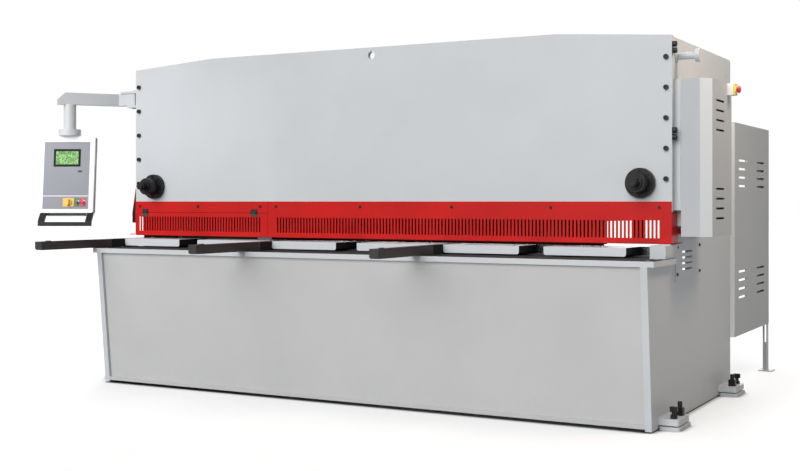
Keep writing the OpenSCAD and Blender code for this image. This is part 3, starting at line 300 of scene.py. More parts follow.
def black_oxide(name, colour, gloss=0.42):
    material, root, place = start(name)
    patch = root.noise(place, 60.0, 4.0, 0.6)
    grain = root.noise(place, 900.0, 2.0)
    rub = edges(root, 0.0012) * patch.span(0.4, 0.6)
    body = patch.span(0.35, 0.65).blend(tinted(colour, 0.55), tinted(colour, 1.05))
    body = (rub * 0.6).blend(body, RUBBED_BARE)
    return finish(material, body, uneven(patch, gloss, 0.08, 0.1), grain, 0.0001, 0.2, Metallic=0.35)


def cast_primer(name, colour, gloss=0.55, **others):
    material, root, place = start(name)
    pores = root.noise(place, 210.0, 6.0, 0.7)
    cloud = root.noise(place, 6.0, 3.0)
    body = mottled(cloud, colour, 0.85, 1.2)
    return finish(material, body, uneven(cloud, gloss, 0.08, 0.08), pores, 0.0006, 0.35, **others)


print("steel finishes ready")

# %% [markdown]
# The guard and the control case are sheet metal and die castings with their own coats:
# a smooth safety red, and a pale powder coat whose fine leather-like texture hides
# fingerprints. Plastics have a finer grain from their mould, and are wiped shiny in places.

# %% Powder coat, gloss red and plastics
def powder_coat(name, colour, gloss=0.5, texture=900.0, strength=0.35, second=None, where=None):
    material, root, place = start(name)
    leather = root.noise(place, texture, 2.0, 0.4)
    cloud = root.noise(place, 5.0, 3.0)
    body = mottled(cloud, colour, 0.965, 1.02)
    if second:
        body = where(root, place).blend(body, rgba(second))
    worn = edges(root, 0.001) * cloud.span(0.45, 0.55)
    body = (worn * 0.4).blend(body, tinted(colour, 0.8))
    return finish(material, body, uneven(cloud, gloss, 0.05, 0.07), leather, 0.0002, strength)


def gloss_coat(name, colour, gloss=0.28, second=None, where=None):
    material, root, place = start(name)
    cloud = root.noise(place, 4.0, 4.0)
    peel = root.noise(place, 260.0, 2.0)
    scuff = root.streaks(place, (12.0, 40.0, 150.0), 4.0, 0.7)
    body = mottled(cloud, colour, 0.9, 1.08)
    if second:
        body = where(root, place).blend(body, rgba(second))
    worn = edges(root, 0.0015) * scuff.span(0.45, 0.6)
    body = (worn * 0.35).blend(body, tinted([channel + 0.05 for channel in colour], 1.1))
    return finish(material, body, scuff.span(0.4, 0.75, gloss, gloss + 0.14), peel, 0.0002, 0.15,
                  Coat_Weight=0.05, Coat_Roughness=0.2, Specular_IOR_Level=0.2)


def moulded(name, colour, gloss=0.38, texture=1400.0, **others):
    material, root, place = start(name)
    grain = root.noise(place, texture, 2.0)
    wipe = root.noise(place, 45.0, 3.0)
    body = mottled(wipe, colour, 0.92, 1.06)
    return finish(material, body, uneven(wipe, gloss, 0.05, 0.08), grain, 0.0001, 0.18, **others)


print("coats and plastics ready")

# %% [markdown]
# The record names a material slot for each CAD node. One table pairs every slot with the
# function that makes its finish. A slot that only needs another gloss or tone gets it here.

# %% A finish for each slot
BASE = {entry["slot"]: entry["base_color"] for entry in record["materials"]}
MAKERS = {
    "painted_grey": machine_paint,
    "painted_dark_grey": lambda name, tone: machine_paint(name, tone, gloss=0.5),
    "pad_grey": pad_finish,
    "arm_black": lambda name, tone: machine_paint(name, tone, gloss=0.4, rub=3.5),
    "blackened_steel": black_oxide,
    "machined_steel": tooled_steel,
    "tool_steel": lambda name, tone: tooled_steel(name, tone, gloss=0.22, grain=(30.0, 500.0, 700.0)),
    "chromed_rod": lambda name, tone: tooled_steel(name, tone, gloss=0.14, stain=0.08),
    "cast_dark": cast_primer,
    "guard_red": gloss_coat,
    "case_white": lambda name, tone: powder_coat(name, tinted(tone, 1.07)),
    "shell_grey": lambda name, tone: powder_coat(name, tone, texture=700.0),
    "panel_grey": lambda name, tone: powder_coat(name, tinted(tone, 0.67), gloss=0.45, texture=1500.0,
                                                 strength=0.15),
    "signal_yellow": lambda name, tone: moulded(name, tone, gloss=0.3),
    "signal_orange": lambda name, tone: moulded(name, [0.88, 0.52, 0.06], gloss=0.3),
    "signal_red": lambda name, tone: moulded(name, [0.62, 0.02, 0.05], gloss=0.3),
    "signal_green": lambda name, tone: moulded(name, tone, gloss=0.3),
    "black_plastic": lambda name, tone: moulded(name, tone, gloss=0.45),
    "motor_blue": lambda name, tone: machine_paint(name, tone, gloss=0.4),
}
coat = {slot: MAKERS[slot](slot, tone) for slot, tone in BASE.items()}
print(len(coat), "finishes made")

# %% [markdown]
# Some painted pieces show two tones, and the second is painted light or shade. The table's
# top is painted near black as shade, the faces deep in the throat are painted dark as shade,
# and so is the guard's lower edge, while the cabinet's slanted corner is painted paler as a
# highlight. Two materials on one mesh would need its faces picked by hand. One material does
# it with a mask, made from the way a face points and where it lies.

# %% Where a second tone goes
PLATE_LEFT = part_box("front_plate")[0].x
GUARD_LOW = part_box("guard_flap")[0].z
HEM = 0.004
SQUARE_ON = 0.7
THROAT_Y, THROAT_TOP = FRONT_Y + 0.55, 1.02
COVER_SHADE_Y, ARM_SHADE_Y = FRONT_Y + 0.42, FRONT_Y + 0.14


def facing(root, *direction):
    """The cosine between the surface and a direction."""
    normal = root.node("ShaderNodeNewGeometry", out="Normal")
    return root.vector("DOT_PRODUCT", normal, Vector(direction).normalized(), out=1)


# Mask of the painted highlight on the cabinet's slanted corner.
def cover_slope(root, place):
    return facing(root, 1, -1, 0) > 0.95


# Mask of the fences' front faces, which are painted paler: painted light.
def front_faces(root, place):
    return facing(root, 0, -1, 0) > SQUARE_ON


# Mask of the table's top, which is painted near black: painted shade.
def top_faces(root, place):
    return facing(root, 0, 0, 1) > SQUARE_ON


def lower_faces(root, place):
    return facing(root, 0, 0, -1) > 0.5


# Mask of painted shade deep in the left frame's throat.
def throat_wall(root, place):
    _, y, z = place.parts()
    return (facing(root, 1, 0, 0) > SQUARE_ON) * (y > THROAT_Y) * (z < THROAT_TOP)


# Mask of painted shade on the left throat cover's inner face.
def left_cover_wall(root, place):
    x, y, _ = place.parts()
    return (facing(root, 1, 0, 0) > SQUARE_ON) * (x < MIDDLE_X) * (y > COVER_SHADE_Y)


# Mask of painted shade on the arms' rear, under the pads.
def under_pads(root, place):
    return place.parts()[1] > ARM_SHADE_Y


# Masks of the guard's painted shade: the left rail beyond the front plate, and the lower edge.
def beyond_plate(root, place):
    return place.parts()[0] < PLATE_LEFT - 0.0005


def under_edge(root, place):
    return place.parts()[2] < GUARD_LOW - HEM + 0.002


print("guard's lower edge at", round(GUARD_LOW, 4), "front plate's left end at", round(PLATE_LEFT, 4))

# %% [markdown]
# Some nodes get a finish of their own in place of their slot's. About half of them have a
# second tone, and the rest a colour that the slot's base colour doesn't give: beams and
# hold-down feet in a dark primer whose red stands in for the shade behind the guard's slots,
# an upper blade darkened as painted shade, and near-black bolts, spindles and bezel.

# %% Finishes of single nodes
GREY = BASE["painted_grey"]
SHADED_RED = (0.03, 0.002, 0.002)
PRIMER_AND_RED_SHADE = [0.16, 0.010, 0.009]
BOLT_BLACK = [0.006, 0.006, 0.007]


def shaded_red(name, where):
    return gloss_coat(name, BASE["guard_red"], second=SHADED_RED, where=where)


def shaded_paint(name, colour, second, where, **others):
    return machine_paint(name, colour, second=second, where=where, dull=0.5, **others)


# A dark primer whose red also stands in for the red shade behind the guard's slots: painted shade.
def primer_with_red_shade(name):
    return cast_primer(name, PRIMER_AND_RED_SHADE, Specular_IOR_Level=0.1)


special = {
    "base_front_panel": machine_paint("base_paint", [0.535, 0.535, 0.535], grime=0.05),
    # Cabinet cover: its slanted corner is painted paler, a painted highlight.
    "cabinet_cover": machine_paint("cabinet_paint", tinted(GREY, 0.80), second=tinted(GREY, 1.18),
                                   where=cover_slope),
    # Fences: front faces painted paler, painted light where the side frame shades them.
    "fences": machine_paint("fence_paint", [0.49, 0.505, 0.515], gloss=0.5, second=(0.80, 0.82, 0.84),
                            where=front_faces),
    # Table: top faces painted near black, painted shade under the pads and the guard.
    "table_plate": shaded_paint("table_paint", GREY, (0.006, 0.006, 0.007), top_faces),
    # Left side frame: inner face deep in the throat painted near black, painted shade.
    "side_frame_left": shaded_paint("left_paint", GREY, (0.012, 0.011, 0.011), throat_wall),
    # Support arms: rear part under the pads painted black, painted shade.
    "support_arms": shaded_paint("arm_paint", BASE["arm_black"], (0.002, 0.002, 0.002), under_pads,
                                 gloss=0.4, rub=3.5),
    # Guard: the left rail's end and the lower edges are painted dark red, painted shade.
    "guard_left_rail": shaded_red("rail_red", beyond_plate),
    "guard_flap": shaded_red("flap_red", under_edge),
    "guard_right": shaded_red("right_red", under_edge),
    # Throat covers: left cover's inner face painted dark red, painted shade.
    "throat_covers": shaded_paint("throat_paint", GREY, (0.05, 0.012, 0.012), left_cover_wall),
    "levelling_screws": moulded("bolt_black", BOLT_BLACK, gloss=0.4, Specular_IOR_Level=0.3),
    "guide_units": moulded("spindle_black", BOLT_BLACK, gloss=0.34, Specular_IOR_Level=0.32),
    "pendant_shell": powder_coat("shell_coat", BASE["shell_grey"], texture=700.0,
                                 second=BASE["case_white"], where=lower_faces),
    "pendant_handle": moulded("handle_black", [0.012, 0.012, 0.013], gloss=0.5, Specular_IOR_Level=0.25),
    "pendant_screen": moulded("bezel_black", [0.007, 0.007, 0.008], gloss=0.5, Specular_IOR_Level=0.15),
    # Upper blade: darkened to a reddish near-black, painted shade behind the guard.
    "upper_blade": tooled_steel("oiled_blade", [0.07, 0.03, 0.028], gloss=0.4,
                                grain=(30.0, 500.0, 700.0), metallic=0.4),
    "hold_down_feet": primer_with_red_shade("feet_primer"),
    "gauge_beam": primer_with_red_shade("gauge_primer"),
    "cutting_beam": primer_with_red_shade("beam_primer"),
}


def dress(node, material):
    mesh = frame["nodes"][node].data
    mesh.materials.clear()
    mesh.materials.append(material)


for part in record["subparts"]:
    dress(part["node"], special.get(part["node"], coat[part["material_slot"]]))
print(len(special), "finishes of their own,", len(record["subparts"]), "nodes dressed")

# %% [markdown]
# The rest are added pieces. Each is a list of points and faces, so a few helpers make them
# all: a lathe for anything round, a flat sheet, a plate with a hole under a button, and a
# swept tube for pipes and weld beads. Several shapes join into one object, which keeps the
# scene's list short.

# %% Shapes from points and faces
def circle(radius, count):
    turns = [math.tau * step / count for step in range(count)]
    return [(radius * math.cos(turn), radius * math.sin(turn)) for turn in turns]


def lathe(profile, steps=32):
    """(radius, height) pairs turned about the Z axis. A radius of 0 closes the end."""
    points, faces, rings = [], [], []
    for radius, height in profile:
        ring = circle(radius, steps if radius else 1)
        rings.append([len(points) + step for step in range(len(ring))])
        points += [(x, y, height) for x, y in ring]
    for low, high in zip(rings, rings[1:]):
        for step in range(steps):
            after = (step + 1) % steps
            corners = (low[step % len(low)], low[after % len(low)],
                       high[after % len(high)], high[step % len(high)])
            faces.append(tuple(dict.fromkeys(corners)))
    return points, faces


def sheet(low, high):
    """A rectangular plate between two corners."""
    points = [(x, y, z) for x in (low[0], high[0]) for y in (low[1], high[1]) for z in (low[2], high[2])]
    return points, [(0, 1, 3, 2), (4, 6, 7, 5), (0, 4, 5, 1), (2, 3, 7, 6), (0, 2, 6, 4), (1, 5, 7, 3)]


def placed(shape, place):
    return [tuple(place @ Vector(point)) for point in shape[0]], shape[1]


def joined(shapes):
    points, faces = [], []
    for more_points, more_faces in shapes:
        first = len(points)
        points += more_points
        faces += [tuple(first + index for index in face) for face in more_faces]
    return points, faces


def aimed(spot, axis):
    """A placement that turns the Z axis to the given one."""
    return Matrix.Translation(spot) @ Vector(axis).to_track_quat("Z", "Y").to_matrix().to_4x4()


print("lathe and sheet ready")

# %% [markdown]
# A shape becomes an object of the scene, and rides on one of the machine's bodies so that
# it moves with it. Faces that meet at a small angle are shaded as one smooth surface, and
# sharper edges stay edges.

# %% From a shape to a piece
CREASE = math.radians(35)


def piece(name, shape, material, body):
    mesh = bpy.data.meshes.new(name)
    mesh.from_pydata(shape[0], [], shape[1])
    work = bmesh.new()
    work.from_mesh(mesh)
    bmesh.ops.remove_doubles(work, verts=work.verts, dist=1e-6)
    bmesh.ops.recalc_face_normals(work, faces=work.faces)
    for face in work.faces:
        face.smooth = True
    for edge in work.edges:
        edge.smooth = edge.calc_face_angle(0) < CREASE
    work.to_mesh(mesh)
    work.free()
    mesh.materials.append(material)
    made = bpy.data.objects.new(name, mesh)
    scene.collection.objects.link(made)
    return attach(made, body)


print("piece helper ready")

# %% [markdown]
# Pipes and straight weld beads are rings of points along a path. Each ring is turned from
# the one before it as little as it can be, so that a tube doesn't twist at its bends.

# %% Tubes along a path
def rounded(corners, bend, steps=6):
    """The corners of a path, each replaced by a curve that starts that far from it."""
    corners = [Vector(corner) for corner in corners]
    path = [corners[0]]
    for before, corner, after in zip(corners, corners[1:], corners[2:]):
        first = corner + (before - corner).normalized() * bend
        last = corner + (after - corner).normalized() * bend
        for part in (step / steps for step in range(steps + 1)):
            path.append(first * (1 - part) ** 2 + corner * 2 * part * (1 - part) + last * part ** 2)
    return path + [corners[-1]]


def tube(path, radius, sides=12):
    """A round tube. radius is a number, or a list with one number a point."""
    radii = radius if isinstance(radius, list) else [radius] * len(path)
    points, faces = [], []
    side = (path[1] - path[0]).orthogonal().normalized()
    for index, (spot, size) in enumerate(zip(path, radii)):
        along = (path[min(index + 1, len(path) - 1)] - path[max(index - 1, 0)]).normalized()
        side = (side - along * side.dot(along)).normalized()
        other = along.cross(side)
        points += [tuple(spot + (side * math.cos(turn) + other * math.sin(turn)) * size)
                   for turn in (math.tau * step / sides for step in range(sides))]
    for ring in range(len(path) - 1):
        for step in range(sides):
            after = (step + 1) % sides
            faces.append((ring * sides + step, ring * sides + after, (ring + 1) * sides + after,
                          (ring + 1) * sides + step))
    ends = (tuple(range(sides)), tuple(range(len(points) - sides, len(points))))
    return points, faces + list(ends)


def weld(start, end, size, ripple=0.0045):
    """A straight weld bead with its row of ripples."""
    start, end = Vector(start), Vector(end)
    count = max(4, round((end - start).length / ripple * 3))
    path = [start.lerp(end, step / count) for step in range(count + 1)]
    radii = [size * (0.86 + 0.14 * abs(math.sin(math.pi * step / 3))) for step in range(count + 1)]
    return tube(path, radii, 8)


print("tubes and weld beads ready")

# %% [markdown]
# A thread is a profile that runs in and out, turned on the lathe. A socket head is three
# turned shapes: the socket's floor, its walls and the outside of the head. Six steps make
# the socket a hexagon.

# %% Threads and screw heads
def thread(radius, low, high, pitch):
    """The zigzag skin of a screw thread on a plain rod."""
    turns = max(2, round((high - low) / pitch))
    depth, profile = pitch * 0.35, []
    for turn in range(turns):
        start = low + turn * (high - low) / turns
        profile += [(radius + 0.0001, start), (radius + 0.0001 + depth, start + pitch * 0.45)]
    return lathe([(radius - 0.001, low)] + profile + [(radius - 0.001, high)], 24)


def socket_head(radius, height):
    """A flat socket screw head, seen from above."""
    key = radius * 0.48
    outside = [(key, height), (radius * 0.93, height), (radius, height * 0.85), (radius, 0)]
    return joined([lathe([(key, height * 0.4), (0, height * 0.4)], 6),
                   lathe([(key, height * 0.4), (key, height)], 6), lathe(outside, 24)])


print("threads and screw heads ready")

# %% [markdown]
# The added pieces need a few finishes more: bright zinc on small screws, duller zinc on
# pipes, the grey of a painted weld, the main switch's own yellow, oil behind a sight glass,
# the glass of a small green display, and steel with a rolled groove for the ball screws.
# The display glows by itself a little, and its light and dark cells are plain blocks. The
# groove isn't modelled: its phase is the angle round the screw plus the distance along it.

# %% Finishes of the added pieces
DARKER_CELL, DARK_CELL = (0.07, 0.20, 0.05, 1.0), (0.12, 0.30, 0.08, 1.0)
LIT_CELL = (0.34, 0.55, 0.24, 1.0)


def display_glass(name):
    material, root, place = start(name)
    grid = root.vector("MULTIPLY", place, (150.0, 150.0, 190.0))
    cells = root.node("ShaderNodeTexVoronoi", {"feature": "F1", "distance": "CHEBYCHEV"},
                      {"Vector": grid, "Scale": 1.0, "Randomness": 0.35}, 1)
    picked = cells.parts()[0] > 0.62
    haze = root.noise(place, 14.0, 2.0)
    body = haze.span(0.35, 0.65).blend(DARKER_CELL, DARK_CELL)
    body = (picked * 0.7).blend(body, LIT_CELL)
    return finish(material, body, 0.3, Emission_Color=body, Emission_Strength=0.35, Specular_IOR_Level=0.1)


def ball_screw(name, tone, axis, pitch=0.032):
    """Ground steel with one rolled groove that winds round an axis along Y."""
    material, root, place = start(name)
    x, y, z = place.parts()
    turn = x.math("ARCTAN2", z - axis.z, x - axis.x) / math.tau
    phase = y / pitch + turn
    wave = phase.math("FRACT", phase) - 0.5
    groove = wave.math("ABSOLUTE", wave).span(0.12, 0.2)
    lines = root.streaks(place, (600.0, 25.0, 600.0))
    body = groove.blend(tinted(tone, 0.35), tinted(tone, 1.0))
    return finish(material, body, uneven(lines, 0.20, 0.06, 0.06), groove, 0.003, 0.9, Metallic=1.0)


zinc = tooled_steel("bright_zinc", [0.56, 0.57, 0.55], gloss=0.34, grain=(400.0, 400.0, 60.0), stain=0.1)
painted_weld = machine_paint("painted_weld", GREY, gloss=0.45, peel=150.0)
oil_glass = moulded("oil_glass", [0.5, 0.3, 0.05], gloss=0.1)
switch_yellow = moulded("switch_yellow", [0.90, 0.50, 0.03], gloss=0.3)
pipe_steel = tooled_steel("pipe_zinc", [0.42, 0.43, 0.41], gloss=0.36, grain=(300.0, 300.0, 300.0),
                          stain=0.2)
green_glass = display_glass("green_display")
for side in ("left", "right"):
    node = "gauge_screw_" + side
    dress(node, ball_screw("ball_screw_" + side, BASE["chromed_rod"], middle_of(node)))
print("display, ball screws, zinc and weld finishes ready")

# %% [markdown]
# The control case hangs tilted from its tube, so its parts are easiest to place in its own
# directions: to the operator's right, into the case, and up the panel. The record gives
# them: buttons are pressed into the case, and the main switch turns about a known point.

# %% The control panel's own directions
joints = {joint["name"]: joint for joint in record["behaviour"]["joints"]}
into = Vector(joints["start_press"]["axis"]).normalized()
rightward = Vector((into.y, -into.x, 0)).normalized()
upward = rightward.cross(into)
switch_spot = Vector(joints["main_switch_turn"]["pos_m"])
panel = Matrix.Translation(switch_spot) @ Matrix((rightward, into, upward)).transposed().to_4x4()
FACE = -0.022


def on_panel(node):
    """The middle of a CAD node in the panel's directions."""
    return panel.inverted() @ middle_of(node)


start_mid, stop_mid = on_panel("start_button"), on_panel("stop_button")
screen_mid, face_mid = on_panel("pendant_screen"), on_panel("pendant_face")
print("start button", round(start_mid.x, 4), "stop button", round(stop_mid.x, 4))
print("screen up", round(screen_mid.z, 4))

# %% [markdown]
# On the panel are the display behind its bezel and a pale strip that parts the panel. Both
# are flat sheets, made in the panel's directions and then placed with it.

# %% Display and strip
WINDOW_HALF, WINDOW_HALF_TALL = 0.069, 0.041
window = sheet((screen_mid.x - WINDOW_HALF, -0.0235, screen_mid.z - WINDOW_HALF_TALL),
               (screen_mid.x + WINDOW_HALF, -0.0226, screen_mid.z + WINDOW_HALF_TALL))
piece("display", placed(window, panel), green_glass, "control_case")
STRIP_HALF, STRIP_LOW, STRIP_HIGH = 0.139, 0.0373, 0.0417
strip = sheet((face_mid.x - STRIP_HALF, FACE - 0.0002, STRIP_LOW),
              (face_mid.x + STRIP_HALF, FACE + 0.0007, STRIP_HIGH))
piece("panel_strip", placed(strip, panel), coat["case_white"], "control_case")
print("display and strip placed")

# %% [markdown]
# Three coloured plates tell the main switch and the two buttons apart. Each has a round
# hole, so its outer corners are joined to the hole by rays from the middle: one for every
# step round the hole, and one through every corner.

# %% Plates under the switch and the buttons
PLATE_HALF, PLATE_THICK, BUTTON_HOLE = 0.026, 0.0008, 0.009
HOLE_STEPS, FAR = 24, 9.0


def holed_plate(left, right, middle):
    corners = [math.atan2(w, u - middle) % math.tau
               for u in (left, right) for w in (-PLATE_HALF, PLATE_HALF)]
    inner, outer = [], []
    for turn in sorted([math.tau * step / HOLE_STEPS for step in range(HOLE_STEPS)] + corners):
        c, s = math.cos(turn), math.sin(turn)
        reach_u = ((right if c > 0 else left) - middle) / c if abs(c) > 1e-9 else FAR
        reach_w = (PLATE_HALF if s > 0 else -PLATE_HALF) / s if abs(s) > 1e-9 else FAR
        reach = min(reach_u, reach_w)
        inner.append((middle + BUTTON_HOLE * c, BUTTON_HOLE * s))
        outer.append((middle + reach * c, reach * s))
    count = len(inner)
    points = [(u, v, w) for v in (FACE - PLATE_THICK, FACE) for ring in (inner, outer) for u, w in ring]
    faces = []
    for step in range(count):
        after = (step + 1) % count
        faces += [(step, after, count + after, count + step),
                  (2 * count + step, 2 * count + after, 3 * count + after, 3 * count + step),
                  (step, after, 2 * count + after, 2 * count + step),
                  (count + step, count + after, 3 * count + after, 3 * count + step)]
    return placed((points, faces), panel)


for name, left, right, middle, slot, material in (
        ("main_switch_plate", -0.034, 0.0335, 0.0, "signal_yellow", switch_yellow),
        ("start_plate", 0.0335, 0.0672, start_mid.x, "signal_green", coat["signal_green"]),
        ("stop_plate", 0.0692, 0.1068, stop_mid.x, "signal_red", coat["signal_red"])):
    plate = piece(name, holed_plate(left, right, middle), material, "control_case")
print("3 plates placed")

# %% [markdown]
# Each button stands in a metal collar, which is turned. The case's back is held by six
# screws near its edges.

# %% Collars and case screws
collar = [(0.0092, 0), (0.0092, -0.0012), (0.0148, -0.0012), (0.0152, -0.0008), (0.0152, 0)]
collars = [placed(lathe(collar), panel @ aimed((spot.x, FACE - PLATE_THICK, 0), (0, 1, 0)))
           for spot in (start_mid, stop_mid)]
piece("button_collars", joined(collars), zinc, "control_case")
CASE_BACK, SCREW_OUT = 0.0378, 0.14
case_screws = [placed(socket_head(0.005, 0.003),
                      panel @ aimed((face_mid.x + side * SCREW_OUT, CASE_BACK, up), (0, 1, 0)))
               for side in (-1, 1) for up in (0.02, 0.14, 0.37)]
piece("case_back_screws", joined(case_screws), coat["blackened_steel"], "control_case")
print(len(collars), "collars and", len(case_screws), "case screws")

# %% [markdown]
# Socket screws hold the pads to the table and the blades to their beams. A worn blade is
# turned over, so its screws have to be reached, and they sit in open counterbores. A loop
# sets the same head on every pad, near both of its ends.

# %% Pad screws
PAD_SCREW_IN, PAD_SCREW_Y, PAD_SCREW_SUNK = 0.045, 0.440, 0.0079
pad_screws = []
for low, high in islands("table_pads"):
    for x in (low.x + PAD_SCREW_IN, high.x - PAD_SCREW_IN):
        spot = (x, FRONT_Y + PAD_SCREW_Y, high.z - PAD_SCREW_SUNK)
        pad_screws.append(placed(socket_head(0.0092, 0.0065), aimed(spot, (0, 0, 1))))
piece("pad_screws", joined(pad_screws), coat["blackened_steel"], "frame")
print(len(pad_screws), "pad screws")

# %% [markdown]
# The upper blade is raked, so that it cuts from one end to the other. Its screws follow
# the cutting edge, whose rise is worked out from the boxes of both blades.

# %% Blade screws
BLADE_SCREWS, BLADE_SCREW_IN, BLADE_SCREW_SUNK = 12, 0.060, 0.0099
(low_near, low_far), (up_near, up_far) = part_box("lower_blade"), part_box("upper_blade")
blade_tall = low_far.z - low_near.z
rake = (up_far.z - up_near.z - blade_tall) / (up_far.x - up_near.x)
screw_gap = (low_far.x - low_near.x - 2 * BLADE_SCREW_IN) / (BLADE_SCREWS - 1)
lower_screws, upper_screws = [], []
for number in range(BLADE_SCREWS):
    x = low_near.x + BLADE_SCREW_IN + number * screw_gap
    head = socket_head(0.0112, 0.008)
    spot = (x, low_far.y - BLADE_SCREW_SUNK, low_near.z + blade_tall / 2 - 0.014)
    lower_screws.append(placed(head, aimed(spot, (0, 1, 0))))
    edge_z = up_near.z + rake * (x - up_near.x)
    spot = (x, up_near.y + BLADE_SCREW_SUNK, edge_z + blade_tall / 2 + 0.012)
    upper_screws.append(placed(head, aimed(spot, (0, -1, 0))))
piece("lower_blade_screws", joined(lower_screws), coat["blackened_steel"], "frame")
piece("upper_blade_screws", joined(upper_screws), coat["blackened_steel"], "beam")
print(2 * BLADE_SCREWS, "blade screws, blade rake", round(math.degrees(math.atan(rake)), 2), "degrees")

# %% [markdown]
# Threads are too fine for the CAD part. Each is a zigzag skin round its plain rod: on the
# two screws of every foot and on the adjusting spindles in front of the front plate. A
# true helix would take more care for the same look at this size, so the skin is made of
# rings. The tall screw of a foot is told from the short one by where it ends.

# %% Threads
FOOT_TOP, FOOT_PITCH = 0.054, 0.0025
foot_threads = []
for low, high in islands("levelling_screws"):
    middle = (low + high) / 2
    if high.z > FOOT_TOP + 0.06:
        skin = thread(0.011, FOOT_TOP + 0.036, high.z - 0.002, FOOT_PITCH)
    else:
        skin = thread(0.010, FOOT_TOP + 0.016, FOOT_TOP + 0.032, FOOT_PITCH)
    foot_threads.append(placed(skin, Matrix.Translation((middle.x, middle.y, 0))))
piece("foot_threads", joined(foot_threads), coat["blackened_steel"], "frame")
FLANGE_WIDE = 0.1
spindles = []
for low, high in islands("guide_units"):
    if high.x - low.x > FLANGE_WIDE:
        middle = (low + high) / 2
        skin = thread(0.017, 0.012, 0.041, 0.004)
        spindles.append(placed(skin, aimed((middle.x, low.y, middle.z), (0, 1, 0))))
piece("guide_threads", joined(spindles), coat["blackened_steel"], "frame")
print(len(foot_threads), "foot threads,", len(spindles), "spindle threads")

# %% [markdown]
# Weld beads run where plates were joined: along the foot plates, round the lifting
# trunnion and round the drop tube. A straight bead is a tube with a rippled radius, half
# sunk in the corner it fills, and a round one is a plain ring from the lathe. A bump could
# draw the ripples, but it wouldn't make the bead stand out of its corner.

# %% Weld beads
SIDE_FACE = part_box("cabinet_back")[0].x
SIDE_OUT = SIDE_FACE - MIDDLE_X
FOOT_PLATES = ((0.187, 0.357), (1.325, 1.495))


def ring_weld(spot, axis, radius, size):
    turns = [math.tau * step / 10 for step in range(11)]
    profile = [(radius + size * math.cos(turn), size * math.sin(turn)) for turn in turns]
    return placed(lathe(profile, 64), aimed(spot, axis))


foot_beads = [weld(at(side * SIDE_OUT, start_y, FOOT_TOP), at(side * SIDE_OUT, end_y, FOOT_TOP), 0.0045)
              for side in (-1, 1) for start_y, end_y in FOOT_PLATES]
piece("foot_welds", joined(foot_beads), painted_weld, "frame")
trunnion_x, trunnion_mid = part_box("lifting_trunnion")[0].x, middle_of("lifting_trunnion")
trunnion_rings = [ring_weld((trunnion_x + out, trunnion_mid.y, trunnion_mid.z), (1, 0, 0), radius, size)
                  for out, radius, size in ((0.010, 0.018, 0.004), (0, 0.030, 0.003))]
piece("trunnion_weld", joined(trunnion_rings), painted_weld, "frame")
collar_mid, collar_top = middle_of("pendant_collar"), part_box("pendant_collar")[1].z
piece("tube_weld", ring_weld((collar_mid.x, collar_mid.y, collar_top), (0, 0, 1), 0.038, 0.003),
      painted_weld, "swing_arm")
print(len(foot_beads), "foot welds and", len(trunnion_rings) + 1, "ring welds")

# %% [markdown]
# The oil tank carries a filler with its cap and a sight glass below it, where the oil's
# level is read. They are round, and the lathe needs only half of their outline.

# %% Filler cap and sight glass
tank_low, tank_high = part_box("oil_tank")
filler_x, filler_y = tank_low.x + 0.090, tank_high.y - 0.090
cap = [(0, 0.052), (0.020, 0.052), (0.026, 0.046), (0.026, 0.024), (0.031, 0.024), (0.031, 0.010),
       (0.034, 0.008), (0.034, 0.0)]
piece("tank_cap", placed(lathe(cap, 40), Matrix.Translation((filler_x, filler_y, tank_high.z - 0.006))),
      coat["black_plastic"], "frame")
sight_place = aimed((filler_x, tank_high.y - 0.006, tank_low.z + 0.160), (0, 1, 0))
SIGHT_RADIUS = 0.0115
piece("sight_oil", placed(lathe([(0, 0.003), (SIGHT_RADIUS, 0.003)]), sight_place), oil_glass, "frame")
rim = [(SIGHT_RADIUS, 0.0025), (SIGHT_RADIUS, 0.005), (0.0135, 0.0058), (0.0168, 0.005), (0.0168, 0.0)]
piece("sight_rim", placed(lathe(rim), sight_place), zinc, "frame")
print("tank cap and sight glass placed")

# %% [markdown]
# The motor is cooled by fins round its body and by a fan under a dished cover. One fin is
# turned and repeated along the motor's own axis, which lies along X.

# %% Motor fins and fan cover
MOTOR = at(0.075, 1.424, 1.834)
BODY_RADIUS, FIN_COUNT, FIN_GAP, FIN_HALF = 0.0595, 20, 0.009, 0.0012
fin = [(BODY_RADIUS, -FIN_HALF), (0.066, -FIN_HALF), (0.067, 0), (0.066, FIN_HALF), (BODY_RADIUS, FIN_HALF)]
fins = [placed(lathe(fin, 48), aimed(MOTOR + Vector((-0.105 + number * FIN_GAP, 0, 0)), (1, 0, 0)))
        for number in range(FIN_COUNT)]
piece("motor_fins", joined(fins), coat["motor_blue"], "frame")
cover = [(BODY_RADIUS, -0.042), (0.0665, -0.042), (0.0665, -0.006), (0.060, 0.003), (0.046, 0.006),
         (0.045, 0.004), (0.034, 0.0045), (0.033, 0.0065), (0.022, 0.007), (0.021, 0.005),
         (0.010, 0.0055), (0.009, 0.0075), (0, 0.0075)]
piece("fan_cover", placed(lathe(cover, 48), aimed(MOTOR + Vector((0.115, 0, 0)), (1, 0, 0))),
      coat["motor_blue"], "frame")
print(len(fins), "fins and the fan cover placed")

# %% [markdown]
# Steel pipes take the oil from the pump to the top and to the foot of both cylinders, to
# push the blade down and to pull it up again. A curve with a round bevel could make a pipe
# as well. Here it is a tube along its corners, each of them bent by one function, and a
# hexagon nut closes each end.

